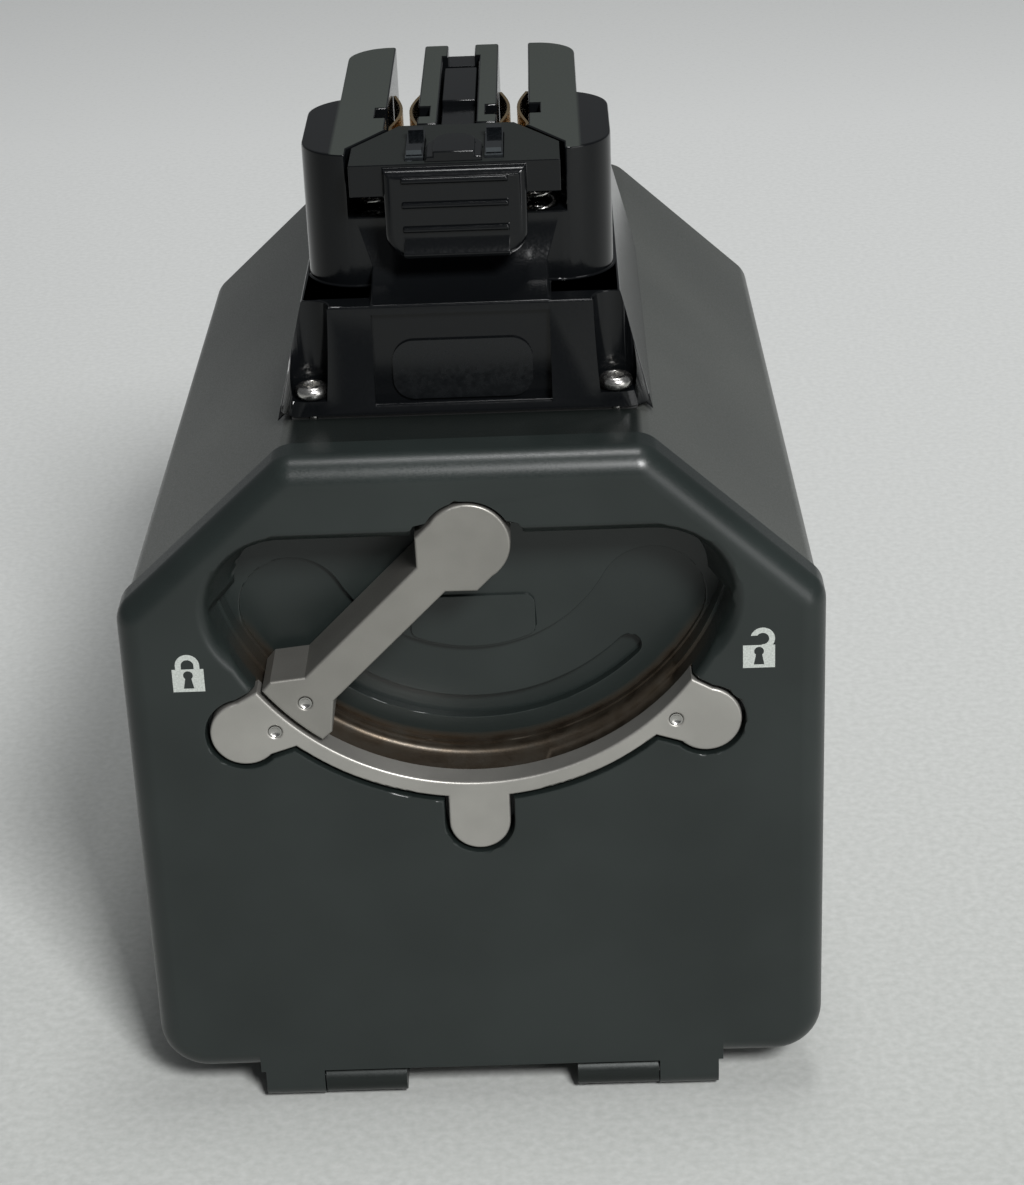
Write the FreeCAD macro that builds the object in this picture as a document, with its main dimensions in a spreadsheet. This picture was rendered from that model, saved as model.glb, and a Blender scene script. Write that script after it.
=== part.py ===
import FreeCAD, Part
import math
import os
import Sketcher
from FreeCAD import Placement, Rotation, Vector

# Battery housing for a surgical power tool: a six-sided case with a latched door
# at the front (-Y) and a plug-in head on top that carries the tool contacts.
# Millimetres. X is across, Y runs from the door to the back, Z is up.
# The origin is the middle of the footprint, on the surface that the case rests on.

doc = FreeCAD.newDocument("battery_housing")
sheet = doc.addObject("Spreadsheet::Sheet", "Sizes")
nodes = []

# Driving dimensions

driving = [
    ("door_bottom", 4.6, "gap under the door's lower edge"),
    ("door_width", 80.0, "door across its side faces"),
    ("door_height", 80.0, "door from lower edge to top face"),
    ("slant_drop", 18.0, "slanted corners below the door's top face"),
    ("top_width", 40.6, "flat top of the door"),
    ("flange_thick", 6.0, "visible thickness of the door"),
    ("plug_depth", 6.0, "inner step of the door, inside the case"),
    ("plug_play", 0.8, "gap round the inner step"),
    ("corner_round", 5.8, "lower corners of door and case"),
    ("ridge_round", 3.6, "upper ridges of door and case"),
    ("edge_round", 3.0, "front edge of the door"),
    ("sill_width", 56.0, "sharp lower edge between the outer ends of the hinge tabs"),
    ("seal_thick", 0.5, "door seal when shut"),
    ("housing_length", 100.0, "case behind the seal"),
    ("housing_step", 0.5, "how far the case lies inside the door's outline"),
    ("housing_draft", 1.2, "how much each side comes in at the back"),
    ("back_round", 1.5, "back edge of the case"),
    ("wall", 3.0, "case wall"),
    ("rail_width", 9.8, "runner under the case and its hinge barrel"),
    ("rail_inner", 10.4, "inner face of a runner from the middle"),
    ("rail_length", 94.0, "runner"),
    ("rail_sink", 2.0, "how far a runner reaches up past the door's lower edge"),
    ("hinge_drop", 2.1, "hinge axis below the door's lower edge and behind its face"),
    ("barrel_radius", 2.0, "hinge barrel on the case"),
    ("tab_width", 7.1, "hinge tab on the door"),
    ("hinge_gap", 0.15, "side gap between tab and barrel"),
    ("pin_radius", 0.8, "hinge pin"),
    ("running_fit", 0.05, "radial clearance of turning parts"),
    ("pivot_drop", 10.3, "lever axis below the door's top face"),
    ("ring_inner", 30.35, "inner radius of the guide ring"),
    ("ring_width", 1.95, "guide ring band"),
    ("ring_thick", 3.2, "guide ring"),
    ("ring_sink", 0.2, "guide ring below the door face"),
    ("ring_gap", 0.45, "pocket round the guide ring"),
    ("ear_across", 26.35, "side ear centre from the middle"),
    ("ear_drop", 23.0, "side ear centre below the lever axis"),
    ("ear_radius", 4.0, "side ear"),
    ("ear_tip_across", 24.3, "pointed end of a side ear from the middle"),
    ("ear_tip_drop", 17.5, "pointed end of a side ear below the lever axis"),
    ("foot_radius", 3.55, "lower ear of the guide ring"),
    ("foot_drop", 35.55, "centre of the lower ear's round end below the lever axis"),
    ("dimple_radius", 0.75, "alignment dimple"),
    ("dimple_reach", 32.35, "ring dimples from the lever axis"),
    ("dimple_depth", 0.35, "alignment dimple"),
    ("soft_edge", 0.3, "front edges of the guide ring and the lever"),
    ("ring_screw_shank", 1.0, "ring screw's thread radius"),
    ("ring_screw_head", 1.9, "ring screw's head radius"),
    ("ring_screw_tall", 1.2, "ring screw's head"),
    ("ring_screw_skin", 1.2, "metal left in front of a ring screw"),
    ("recess_depth", 8.8, "finger recess in the door"),
    ("recess_slope", 2.6, "how much the recess walls come in"),
    ("lobe_across", 20.7, "centre of the recess's round ends from the middle"),
    ("lobe_drop", 7.8, "centre of the recess's round ends below the lever axis"),
    ("lobe_radius", 9.0, "round ends of the recess"),
    ("rim_chamfer", 0.7, "sloped rim of the recess"),
    ("bowl_step_depth", 6.0, "ledge in the wall under the guide ring"),
    ("bowl_step", 0.4, "ledge in the wall under the guide ring"),
    ("kidney_step", 0.8, "extra depth of the kidney-shaped floor"),
    ("kidney_inner", 17.3, "inner radius of the kidney-shaped floor"),
    ("kidney_outer", 29.7, "outer radius of the kidney-shaped floor"),
    ("kidney_half_angle", 61.4, "kidney-shaped floor to each side of straight down"),
    ("island_half", 7.2, "raised pad below the lever axis"),
    ("island_outer", 16.9, "raised pad's round edge from the lever axis"),
    ("island_inner", 10.4, "raised pad's flat edge below the lever axis"),
    ("island_proud", 0.4, "raised pad"),
    ("track_radius", 25.4, "guide track from the lever axis"),
    ("track_width", 2.8, "guide track"),
    ("track_depth", 1.2, "guide track below the kidney-shaped floor"),
    ("lever_swing", 90.0, "lever from locked to unlocked"),
    ("lever_thick", 8.2, "lever"),
    ("lever_head", 4.85, "round head of the lever"),
    ("lever_neck", 3.4, "where the lever's head starts to narrow, from its axis"),
    ("lever_bar", 4.4, "width of the lever's bar"),
    ("lever_reach", 29.7, "lever foot from its axis"),
    ("lever_foot", 9.4, "width of the lever's foot"),
    ("head_gap", 0.4, "notch round the lever's head"),
    ("guide_pin_radius", 1.1, "pin under the lever's foot"),
    ("shaft_radius", 2.5, "lever shaft"),
    ("shaft_neck", 1.6, "thin end of the lever shaft"),
    ("bush_radius", 4.0, "shaft bush"),
    ("seal_ring_wire", 1.7, "shaft seal ring section"),
    ("finger_thick", 2.0, "latch finger"),
    ("finger_reach", 5.6, "latch finger from its axis"),
    ("finger_width", 4.0, "latch finger"),
    ("finger_hub", 2.8, "latch finger's hub radius"),
    ("finger_place", 14.6, "latch finger behind the door face"),
    ("nut_radius", 2.5, "nut on the lever shaft"),
    ("nut_thick", 1.8, "nut on the lever shaft"),
    ("striker_radius", 1.2, "striker pin"),
    ("striker_place", 13.2, "striker pin behind the door face"),
    ("striker_rise", 5.1, "striker pin above the lever axis"),
    ("striker_half", 8.0, "half the striker pin's length"),
    ("lug_width", 2.5, "lug that holds the striker pin"),
    ("pad_width", 44.0, "pad on the door's inner side"),
    ("pad_tall", 19.0, "pad on the door's inner side"),
    ("pad_place", 9.0, "pad above the door's lower edge"),
    ("pad_thick", 2.0, "pad on the door's inner side"),
    ("guide_rail_thick", 2.6, "battery guide rail"),
    ("guide_rail_tall", 5.0, "battery guide rail"),
    ("guide_rail_length", 76.0, "battery guide rail"),
    ("guide_rail_height", 24.0, "battery guide rail above the door's lower edge"),
    ("guide_rail_place", 22.0, "front end of a guide rail behind the door face"),
    ("bumper_thick", 3.0, "pad at the back of the battery bay"),
    ("bumper_size", 40.0, "pad at the back of the battery bay"),
    ("head_seal", 0.5, "seal under the head"),
    ("head_place", 13.5, "front of the head behind the door face"),
    ("skirt_margin", 3.6, "foot of the head beyond the neck at its lower edge"),
    ("skirt_length", 62.0, "head at its foot"),
    ("skirt_tall", 12.5, "slanted foot of the head"),
    ("skirt_slope", 3.15, "how much each side of the foot comes in"),
    ("skirt_lean", 1.3, "how much the foot's front comes in"),
    ("ramp_width", 20.0, "ramp under the thumb plate"),
    ("ramp_rise", 2.5, "ramp under the thumb plate"),
    ("neck_width", 35.0, "wide part of the head's neck"),
    ("neck_place", 21.5, "front of the neck behind the door face"),
    ("neck_length", 22.5, "wide part of the neck"),
    ("neck_round", 6.0, "corners of the neck"),
    ("head_tall", 28.0, "head above its seal"),
    ("tail_width", 28.0, "narrow back part of the neck"),
    ("tail_length", 22.0, "narrow back part of the neck behind the wide part"),
    ("plate_width", 23.4, "latch plate"),
    ("plate_place", 17.3, "front of the latch plate behind the door face"),
    ("plate_straight", 6.7, "parallel sides of the latch plate"),
    ("plate_length", 14.7, "latch plate"),
    ("plate_back", 13.2, "latch plate's back edge"),
    ("plate_thick", 3.7, "latch plate"),
    ("plate_gap", 0.55, "gap round the latch plate"),
    ("button_travel", 3.0, "how far the release button goes down"),
    ("button_spare", 0.6, "room left under the latch plate"),
    ("button_width", 15.8, "thumb plate"),
    ("button_tall", 10.7, "thumb plate"),
    ("button_thick", 2.8, "thumb plate"),
    ("button_place", 16.0, "thumb plate behind the door face"),
    ("rib_pitch", 2.8, "ribs on the thumb plate"),
    ("rib_proud", 0.45, "ribs on the thumb plate"),
    ("rib_width", 0.7, "ribs on the thumb plate"),
    ("lip_proud", 0.9, "lip at the thumb plate's lower end"),
    ("lip_tall", 2.6, "lip at the thumb plate's lower end"),
    ("bump_half", 3.1, "half the width of the bump on the latch plate"),
    ("bump_length", 4.6, "straight part of the bump"),
    ("bump_tall", 1.2, "bump above the latch plate"),
    ("teeth_gap", 0.3, "between the bump and a toothed strip"),
    ("teeth_width", 2.0, "toothed strip"),
    ("teeth_length", 9.6, "toothed strip"),
    ("slot_inner", 4.6, "contact slot's inner wall from the middle"),
    ("slot_width", 3.65, "contact slot"),
    ("slot_depth", 12.0, "contact slot"),
    ("channel_width", 4.5, "middle channel"),
    ("tongue_play", 0.25, "side gap of the latch tongue"),
    ("contact_place", 3.4, "spring contact behind the latch plate"),
    ("contact_thick", 0.35, "spring contact strip"),
    ("contact_tall", 8.0, "spring contact strip"),
    ("screw_edge", 3.9, "head screw from the foot's side edge"),
    ("screw_place", 15.3, "front head screws behind the door face"),
    ("screw_head", 1.9, "head screw's head radius"),
    ("screw_shank", 1.1, "head screw's thread radius"),
    ("screw_seat", 1.7, "floor under a head screw"),
    ("spring_across", 9.2, "button spring from the middle"),
    ("spring_place", 3.2, "button spring behind the neck's front"),
    ("spring_radius", 1.9, "button spring"),
    ("spring_wire", 0.4, "button spring wire"),
    ("label_width", 15.8, "bare inlay on the foot"),
    ("label_tall", 7.0, "bare inlay on the foot"),
    ("label_place", 1.1, "bare inlay above the foot's lower edge"),
    ("label_thick", 0.4, "bare inlay on the foot"),
    ("panel_depth", 0.5, "sunk panel on the front of the foot"),
    ("hollow_side", 6.6, "wall beside the hollow under the foot"),
    ("hollow_front", 12.0, "wall in front of the hollow"),
    ("hollow_back", 8.0, "wall behind the hollow"),
    ("hollow_tall", 10.5, "hollow under the foot"),
    ("block_width", 24.0, "contact block through the case top"),
    ("block_length", 27.0, "contact block through the case top"),
    ("block_place", 31.0, "contact block behind the door face"),
    ("bar_width", 3.0, "bus bar"),
    ("bar_thick", 0.8, "bus bar"),
    ("terminal_pitch", 6.0, "terminal blades"),
    ("terminal_thick", 0.8, "terminal blades"),
    ("terminal_length", 12.0, "terminal blades"),
    ("terminal_tall", 5.0, "terminal blades"),
]

for row, (name, value, note) in enumerate(driving, 1):
    sheet.set("A%d" % row, name)
    sheet.set("B%d" % row, str(value))
    sheet.set("C%d" % row, note)
    sheet.setAlias("B%d" % row, name)
doc.recompute()


class Size:
    # A length with its value and the expression that gives it from the sheet

    def __init__(self, value, text):
        self.value = value
        self.text = text

    def join(self, other, sign, value):
        return Size(value, "(%s %s %s)" % (self.text, sign, other.text))

    def __add__(self, other):
        other = size(other)
        return self.join(other, "+", self.value + other.value)

    def __radd__(self, other):
        return size(other) + self

    def __sub__(self, other):
        other = size(other)
        return self.join(other, "-", self.value - other.value)

    def __rsub__(self, other):
        return size(other) - self

    def __mul__(self, other):
        other = size(other)
        return self.join(other, "*", self.value * other.value)

    def __rmul__(self, other):
        return size(other) * self

    def __truediv__(self, other):
        other = size(other)
        return self.join(other, "/", self.value / other.value)

    def __neg__(self):
        return Size(-self.value, "(-%s)" % self.text)


def size(thing):
    if isinstance(thing, Size):
        return thing
    return Size(float(thing), "%.6g" % thing)


def root(thing):
    return Size(math.sqrt(thing.value), "sqrt(%s)" % thing.text)


def cell(name):
    return Size(float(sheet.get(name)), "Sizes.%s" % name)


# Levels and planes that several pieces share

depth = cell("flange_thick") + cell("seal_thick") + cell("housing_length")
face = -depth / 2
flange_back = face + cell("flange_thick")
plug_back = flange_back + cell("plug_depth")
case_front = flange_back + cell("seal_thick")
case_back = case_front + cell("housing_length")
base = cell("door_bottom")
hinge_y = face + cell("hinge_drop")
hinge_z = base - cell("hinge_drop")
half_door = cell("door_width") / 2
half_top = cell("top_width") / 2
door_top = base + cell("door_height")
door_side = door_top - cell("slant_drop")
pivot = door_top - cell("pivot_drop")
lobe_z = pivot - cell("lobe_drop")
ear_z = pivot - cell("ear_drop")
foot_z = pivot - cell("foot_drop")
step = cell("housing_step")
half_case = half_door - step
case_bottom = base + step
case_top = door_top - step
wall = cell("wall")
recess_floor = face + cell("recess_depth")
kidney_floor = recess_floor + cell("kidney_step")
head_bottom = case_top + cell("head_seal")
head_top = head_bottom + cell("head_tall")
shelf = head_bottom + cell("skirt_tall")
head_front = face + cell("head_place")
head_back = head_front + cell("skirt_length")
plate_under = head_top - cell("plate_thick")
plate_floor = plate_under - cell("button_travel") - cell("button_spare")
slot_floor = head_top - cell("slot_depth")
slot_outer = cell("slot_inner") + cell("slot_width")
neck_front = face + cell("neck_place")
neck_back = neck_front + cell("neck_length")
tail_back = neck_back + cell("tail_length")
plate_front = face + cell("plate_place")
plate_back_y = plate_front + cell("plate_length")
half_skirt = cell("neck_width") / 2 + cell("skirt_margin")
button_front = face + cell("button_place")


# Drawing helpers

def sketch(body, name, role, offset):
    drawing = body.newObject("Sketcher::SketchObject", name)
    plane = [item for item in body.Origin.OriginFeatures if item.Role == role][0]
    drawing.AttachmentSupport = [(plane, "")]
    drawing.MapMode = "FlatFace"
    drawing.setExpression(".AttachmentOffset.Base.z", size(offset).text)
    return drawing


def pin_point(drawing, part, point, across, up):
    for kind, place in (("DistanceX", size(across)), ("DistanceY", size(up))):
        rule = drawing.addConstraint(Sketcher.Constraint(kind, -1, 1, part, point, place.value))
        drawing.setExpression("Constraints[%d]" % rule, place.text)


def polygon(corners):
    def draw(drawing):
        spots = [Vector(size(across).value, size(up).value, 0) for across, up in corners]
        count = len(spots)
        lines = [Part.LineSegment(spots[i], spots[(i + 1) % count]) for i in range(count)]
        parts = drawing.addGeometry(lines, False)
        for i in range(count):
            drawing.addConstraint(Sketcher.Constraint("Coincident", parts[i], 2, parts[(i + 1) % count], 1))
        for i, (across, up) in enumerate(corners):
            pin_point(drawing, parts[i], 1, across, up)
    return draw


def rectangle(left, right, low, high):
    return polygon([(left, low), (right, low), (right, high), (left, high)])


def circle(across, up, radius):
    def draw(drawing):
        centre = Vector(size(across).value, size(up).value, 0)
        part = drawing.addGeometry(Part.Circle(centre, Vector(0, 0, 1), size(radius).value), False)
        pin_point(drawing, part, 3, across, up)
        rule = drawing.addConstraint(Sketcher.Constraint("Radius", part, size(radius).value))
        drawing.setExpression("Constraints[%d]" % rule, size(radius).text)
    return draw


def feature(kind, body, name, drawing, length, reverse):
    made = body.newObject(kind, name)
    made.Profile = drawing
    made.setExpression("Length", size(length).text)
    made.Reversed = reverse
    body.Tip = made
    return made


def build(kind, body, name, role, offset, length, shapes, reverse):
    drawing = sketch(body, name + "_outline", role, offset)
    for draw in shapes:
        draw(drawing)
    return feature(kind, body, name, drawing, length, reverse)


def pad_back(body, name, start, length, *shapes):
    return build("PartDesign::Pad", body, name, "XZ_Plane", -start, length, shapes, True)


def cut_back(body, name, start, length, *shapes):
    return build("PartDesign::Pocket", body, name, "XZ_Plane", -start, length, shapes, False)


def pad_up(body, name, start, length, *shapes):
    return build("PartDesign::Pad", body, name, "XY_Plane", start, length, shapes, False)


def cut_down(body, name, start, length, *shapes):
    return build("PartDesign::Pocket", body, name, "XY_Plane", start, length, shapes, False)


def pad_right(body, name, start, length, *shapes):
    return build("PartDesign::Pad", body, name, "YZ_Plane", start, length, shapes, False)


def cut_right(body, name, start, length, *shapes):
    return build("PartDesign::Pocket", body, name, "YZ_Plane", start, length, shapes, True)


def new_body(label):
    body = doc.addObject("PartDesign::Body", label)
    body.Label = label
    return body


def round_edges(body, name, radius, choose):
    doc.recompute()
    before = body.Tip
    names = ["Edge%d" % (i + 1) for i, edge in enumerate(before.Shape.Edges) if choose(edge)]
    made = body.newObject("PartDesign::Fillet", name)
    made.Base = (before, names)
    made.setExpression("Radius", size(radius).text)
    body.Tip = made
    doc.recompute()
    return made


def runs_along(edge, direction):
    ends = [vertex.Point for vertex in edge.Vertexes]
    if len(ends) < 2 or edge.Curve.TypeId != "Part::GeomLine":
        return False
    span = ends[1] - ends[0]
    return abs(span.normalize().dot(direction)) > 0.999


def near(value, target, tolerance=0.02):
    return abs(value - size(target).value) < tolerance


def lies_at(edge, level):
    # True for an edge that runs in one plane behind the face
    first, last = edge.ParameterRange
    return all(near(edge.valueAt(first + (last - first) * i / 4).y, level) for i in range(5))


def keep(thing, label=None):
    if label:
        thing.Label = label
    nodes.append(thing)
    return thing


def locate(thing, x, y, z, rotation=None):
    thing.Placement = Placement(Vector(0, 0, 0), rotation or Rotation())
    for axis, value in (("x", x), ("y", y), ("z", z)):
        thing.setExpression("Placement.Base." + axis, size(value).text)
    return thing


def box(name, x, y, z):
    block = doc.addObject("Part::Box", name)
    for side, (low, high) in zip(("Length", "Width", "Height"), (x, y, z)):
        block.setExpression(side, (size(high) - size(low)).text)
    return locate(block, x[0], y[0], z[0])


def rod(name, direction, radius, start, length, first, second):
    bar = doc.addObject("Part::Cylinder", name)
    bar.setExpression("Radius", size(radius).text)
    bar.setExpression("Height", size(length).text)
    if direction == "x":
        return locate(bar, start, first, second, Rotation(Vector(0, 1, 0), 90))
    if direction == "y":
        return locate(bar, first, start, second, Rotation(Vector(1, 0, 0), -90))
    return locate(bar, first, second, start)


def fuse(name, parts):
    made = doc.addObject("Part::MultiFuse", name)
    made.Shapes = parts
    made.Refine = True
    return made


def cut(name, base_part, tool):
    made = doc.addObject("Part::Cut", name)
    made.Base = base_part
    made.Tool = tool
    made.Refine = True
    return made


def cone(name, front_radius, back_radius, length, across, up):
    # A round taper that starts at the door face
    made = doc.addObject("Part::Cone", name)
    made.setExpression("Radius1", size(front_radius).text)
    made.setExpression("Radius2", size(back_radius).text)
    made.setExpression("Height", size(length).text)
    return locate(made, across, face, up, Rotation(Vector(1, 0, 0), -90))


def common(name, first, second):
    made = doc.addObject("Part::MultiCommon", name)
    made.Shapes = [first, second]
    return made


def arc_band(name, inner, outer, half_angle, start, length):
    # A band about the lever axis, to both sides of straight down, with round ends
    half = size(half_angle)
    turn = Rotation(Vector(1, 0, 0), -90) * Rotation(Vector(0, 0, 1), 90 - half.value)
    sector = doc.addObject("Part::Cylinder", name + "_sector")
    sector.setExpression("Radius", size(outer).text)
    sector.setExpression("Height", size(length).text)
    sector.setExpression("Angle", (half * 2).text)
    locate(sector, 0, start, pivot, turn)
    core = rod(name + "_core", "y", inner, start, length, 0, pivot)
    middle = (size(inner) + outer) / 2
    end_radius = (size(outer) - inner) / 2
    parts = [cut(name + "_band", sector, core)]
    for side in (-1, 1):
        angle = math.radians(half.value)
        across = middle * (side * math.sin(angle))
        up = pivot - middle * math.cos(angle)
        parts.append(rod("%s_end_%d" % (name, side + 1), "y", end_radius, start, length, across, up))
    return fuse(name, parts)


def six_sides(half, low, side, high, half_flat, inset=0):
    # Outline of the case or door, moved in by the same amount on every side
    run = size(half) - half_flat
    rise = size(high) - side
    slant = root(run * run + rise * rise)
    right = size(half) - inset
    shoulder = size(side) + (rise - slant) / run * inset
    flat = size(half_flat) + (run - slant) / rise * inset
    top = size(high) - inset
    bottom = size(low) + inset
    return polygon([(-right, bottom), (right, bottom), (right, shoulder),
                    (flat, top), (-flat, top), (-right, shoulder)])


def is_lower_corner(half, low):
    def choose(edge):
        if not runs_along(edge, Vector(0, 1, 0)):
            return False
        middle = edge.CenterOfMass
        return near(abs(middle.x), half, 1.5) and near(middle.z, low, 1.5)
    return choose


def is_ridge(half, low):
    def choose(edge):
        if abs(edge.BoundBox.YLength) < 4:
            return False
        middle = edge.CenterOfMass
        return middle.z > size(low).value + 40 and edge.BoundBox.ZLength < 2 and edge.BoundBox.XLength < 2
    return choose


# Door cover

def ring_shapes(body, start, thick, grow):
    # Guide ring outline: a band under the lever with one lower and two side ears
    inner = cell("ring_inner")
    outer = inner + cell("ring_width") + grow
    tip_z = pivot - cell("ear_tip_drop")
    ear_r = cell("ear_radius") + grow
    foot_r = cell("foot_radius") + grow
    slant = math.sqrt(0.5)
    pad_back(body, "band", start, thick, circle(0, pivot, outer))
    cut_back(body, "above", start, thick, rectangle(-outer * 2, outer * 2, ear_z, pivot + outer * 2))
    for side, word in ((-1, "left"), (1, "right")):
        across = cell("ear_across")
        corners = [(cell("ear_tip_across"), tip_z + grow), (across + ear_r * 0.75, ear_z + ear_r * 0.66),
                   (across, ear_z), (across - ear_r * slant, ear_z - ear_r * slant),
                   (across - ear_r * 1.95, ear_z - ear_r * 0.3), (across - ear_r * 1.7, ear_z + ear_r * 0.6)]
        pad_back(body, word + "_neck", start, thick, polygon([(x * side, z) for x, z in corners]))
        pad_back(body, word + "_ear", start, thick, circle(across * side, ear_z, ear_r))
    pad_back(body, "lower_neck", start, thick, rectangle(-foot_r, foot_r, foot_z, pivot - inner - 0.3))
    pad_back(body, "lower_ear", start, thick, circle(0, foot_z, foot_r))
    cut_back(body, "bore", start, thick, circle(0, pivot, inner))


def door_blank():
    body = new_body("door_blank")
    pad_back(body, "flange", face, cell("flange_thick"),
             six_sides(half_door, base, door_side, door_top, half_top))
    round_edges(body, "lower_corners", cell("corner_round"), is_lower_corner(half_door, base))
    round_edges(body, "ridges", cell("ridge_round"), is_ridge(half_door, base))
    round_edges(body, "front_edge", cell("edge_round"),
                lambda edge: near(edge.BoundBox.YMin, face) and near(edge.BoundBox.YMax, face))
    inset = wall + cell("plug_play")
    pad_back(body, "inner_step", flange_back, cell("plug_depth"),
             six_sides(half_case, case_bottom, door_side - step, case_top, half_top - step, inset))
    half_sill = cell("sill_width") / 2
    pad_back(body, "sill", face, cell("flange_thick"),
             rectangle(-half_sill, half_sill, base, base + cell("edge_round") + 1))
    tab_inner = cell("rail_inner") + cell("rail_width") + cell("hinge_gap")
    drop = cell("hinge_drop")
    for side, word in ((-1, "left"), (1, "right")):
        start = tab_inner if side > 0 else -tab_inner - cell("tab_width")
        pad_right(body, word + "_tab", start, cell("tab_width"),
                  rectangle(face, face + drop * 2, hinge_z, base + cell("edge_round")))
        pad_right(body, word + "_eye", start, cell("tab_width"), circle(hinge_y, hinge_z, drop))
        cut_right(body, word + "_hole", start, cell("tab_width"),
                  circle(hinge_y, hinge_z, cell("pin_radius") + cell("running_fit")))
    return body


def recess_tools():
    deep = cell("recess_depth")
    rim = cell("rim_chamfer")
    across = cell("lobe_across")
    tools = []
    bowl = cell("ring_inner")
    wide = rod("recess_disc", "y", bowl, face, cell("bowl_step_depth"), 0, pivot)
    narrow = rod("recess_disc_low", "y", bowl - cell("bowl_step"), face, deep, 0, pivot)
    rim_cone = cone("recess_disc_rim", bowl + rim, bowl - rim, rim * 2, 0, pivot)
    lower = box("recess_lower", (-bowl - rim, bowl + rim), (face, recess_floor), (pivot - bowl - 1, lobe_z))
    tools.append(common("recess_bowl", fuse("recess_discs", [wide, narrow, rim_cone]), lower))
    for side in (-1, 1):
        name = "recess_lobe_%d" % (side + 1)
        round_end = cell("lobe_radius")
        tools.append(cone(name, round_end, round_end - cell("recess_slope"), deep, across * side, lobe_z))
        tools.append(cone(name + "_rim", round_end + rim, round_end - rim, rim * 2, across * side, lobe_z))
    bridge = new_body("recess_bridge")
    top = lobe_z + cell("lobe_radius")
    low = lobe_z - cell("lobe_radius") + cell("recess_slope") + 1
    pad_right(bridge, "bridge", -across, across * 2,
              polygon([(face, low), (face, top), (recess_floor, top - cell("recess_slope")),
                       (recess_floor, low)]))
    pad_right(bridge, "bridge_rim", -across, across * 2,
              polygon([(face, low), (face, top + rim), (face + rim * 2, top - rim), (face + rim * 2, low)]))
    tools.append(bridge)
    tools.append(rod("lever_notch", "y", cell("lever_head") + cell("head_gap"), face, deep, 0, pivot))
    sweep = root(cell("lever_head") * cell("lever_head") + cell("lever_neck") * cell("lever_neck"))
    sweep = sweep + cell("head_gap")
    swept = rod("lever_corner_disc", "y", sweep, face, deep, 0, pivot)
    below = box("lever_corner_below", (-sweep, sweep), (face, recess_floor),
                (pivot - sweep, pivot + cell("lever_head") / 2))
    tools.append(common("lever_corner_room", swept, below))
    tools.append(arc_band("kidney", cell("kidney_inner"), cell("kidney_outer"), cell("kidney_half_angle"),
                          recess_floor, cell("kidney_step")))
    half = cell("track_width") / 2
    tools.append(arc_band("track", cell("track_radius") - half, cell("track_radius") + half,
                          cell("lever_swing") / 2, kidney_floor, cell("track_depth")))
    seat = cell("shaft_radius") + cell("running_fit") + cell("seal_ring_wire") + 0.02
    tools.append(rod("seal_seat", "y", seat, recess_floor, cell("seal_ring_wire") - 0.4, 0, pivot))
    tools.append(rod("bush_bore", "y", cell("bush_radius"), recess_floor, plug_back - recess_floor, 0, pivot))
    return tools


def ring_screw_places():
    return [(-cell("ear_across"), ear_z), (cell("ear_across"), ear_z), (size(0), foot_z)]


def door_cover():
    blank = door_blank()
    tools = recess_tools()
    pocket = new_body("ring_pocket")
    ring_shapes(pocket, face, cell("ring_thick") + cell("ring_sink"), cell("ring_gap"))
    tools.append(pocket)
    for i, (x, z) in enumerate(ring_screw_places()):
        start = face + cell("ring_thick")
        seat = cell("ring_screw_tall") + 0.1
        shank = cell("ring_screw_shank")
        tools.append(rod("ring_screw_hole_%d" % i, "y", shank, start, plug_back - start, x, z))
        head = cell("ring_screw_head") + 0.1
        tools.append(rod("ring_screw_seat_%d" % i, "y", head, plug_back - seat, seat, x, z))
    carved = cut("door_carved", blank, fuse("door_tools", tools))
    island = new_body("island")
    proud = cell("island_proud")
    half = cell("island_half")
    outer = cell("island_outer")
    low = pivot - outer - 1
    flat = pivot - cell("island_inner")
    pad_back(island, "island", recess_floor - proud, proud, circle(0, pivot, outer))
    cut_back(island, "above", recess_floor - proud, proud,
             rectangle(-outer - 1, outer + 1, flat, pivot + outer + 1))
    cut_back(island, "sides", recess_floor - proud, proud, rectangle(-outer - 1, -half, low, flat + 1),
             rectangle(half, outer + 1, low, flat + 1))
    round_edges(island, "island_corners", 1.2, lambda edge: runs_along(edge, Vector(0, 1, 0)))
    keep(fuse("door_cover", [carved, island]), "door_cover")


def door_gasket():
    body = new_body("door_gasket")
    outline = (half_case, case_bottom, door_side - step, case_top, half_top - step)
    pad_back(body, "frame", flange_back, cell("seal_thick"),
             six_sides(*outline, size(1.0)), six_sides(*outline, wall + cell("plug_play") - 0.1))
    keep(body)


def guide_ring():
    body = new_body("guide_ring")
    start = face + cell("ring_sink")
    ring_shapes(body, start, cell("ring_thick"), 0)
    reach = cell("dimple_reach") * math.sqrt(0.5)
    cut_back(body, "dimples", start, cell("dimple_depth"), circle(-reach, pivot - reach, cell("dimple_radius")),
             circle(reach, pivot - reach, cell("dimple_radius")))
    cut_back(body, "screw_holes", start + cell("ring_screw_skin"), cell("ring_thick"),
             *[circle(x, z, cell("ring_screw_shank")) for x, z in ring_screw_places()])
    round_edges(body, "front_edges", cell("soft_edge"), lambda edge: lies_at(edge, start))
    keep(body)


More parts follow.
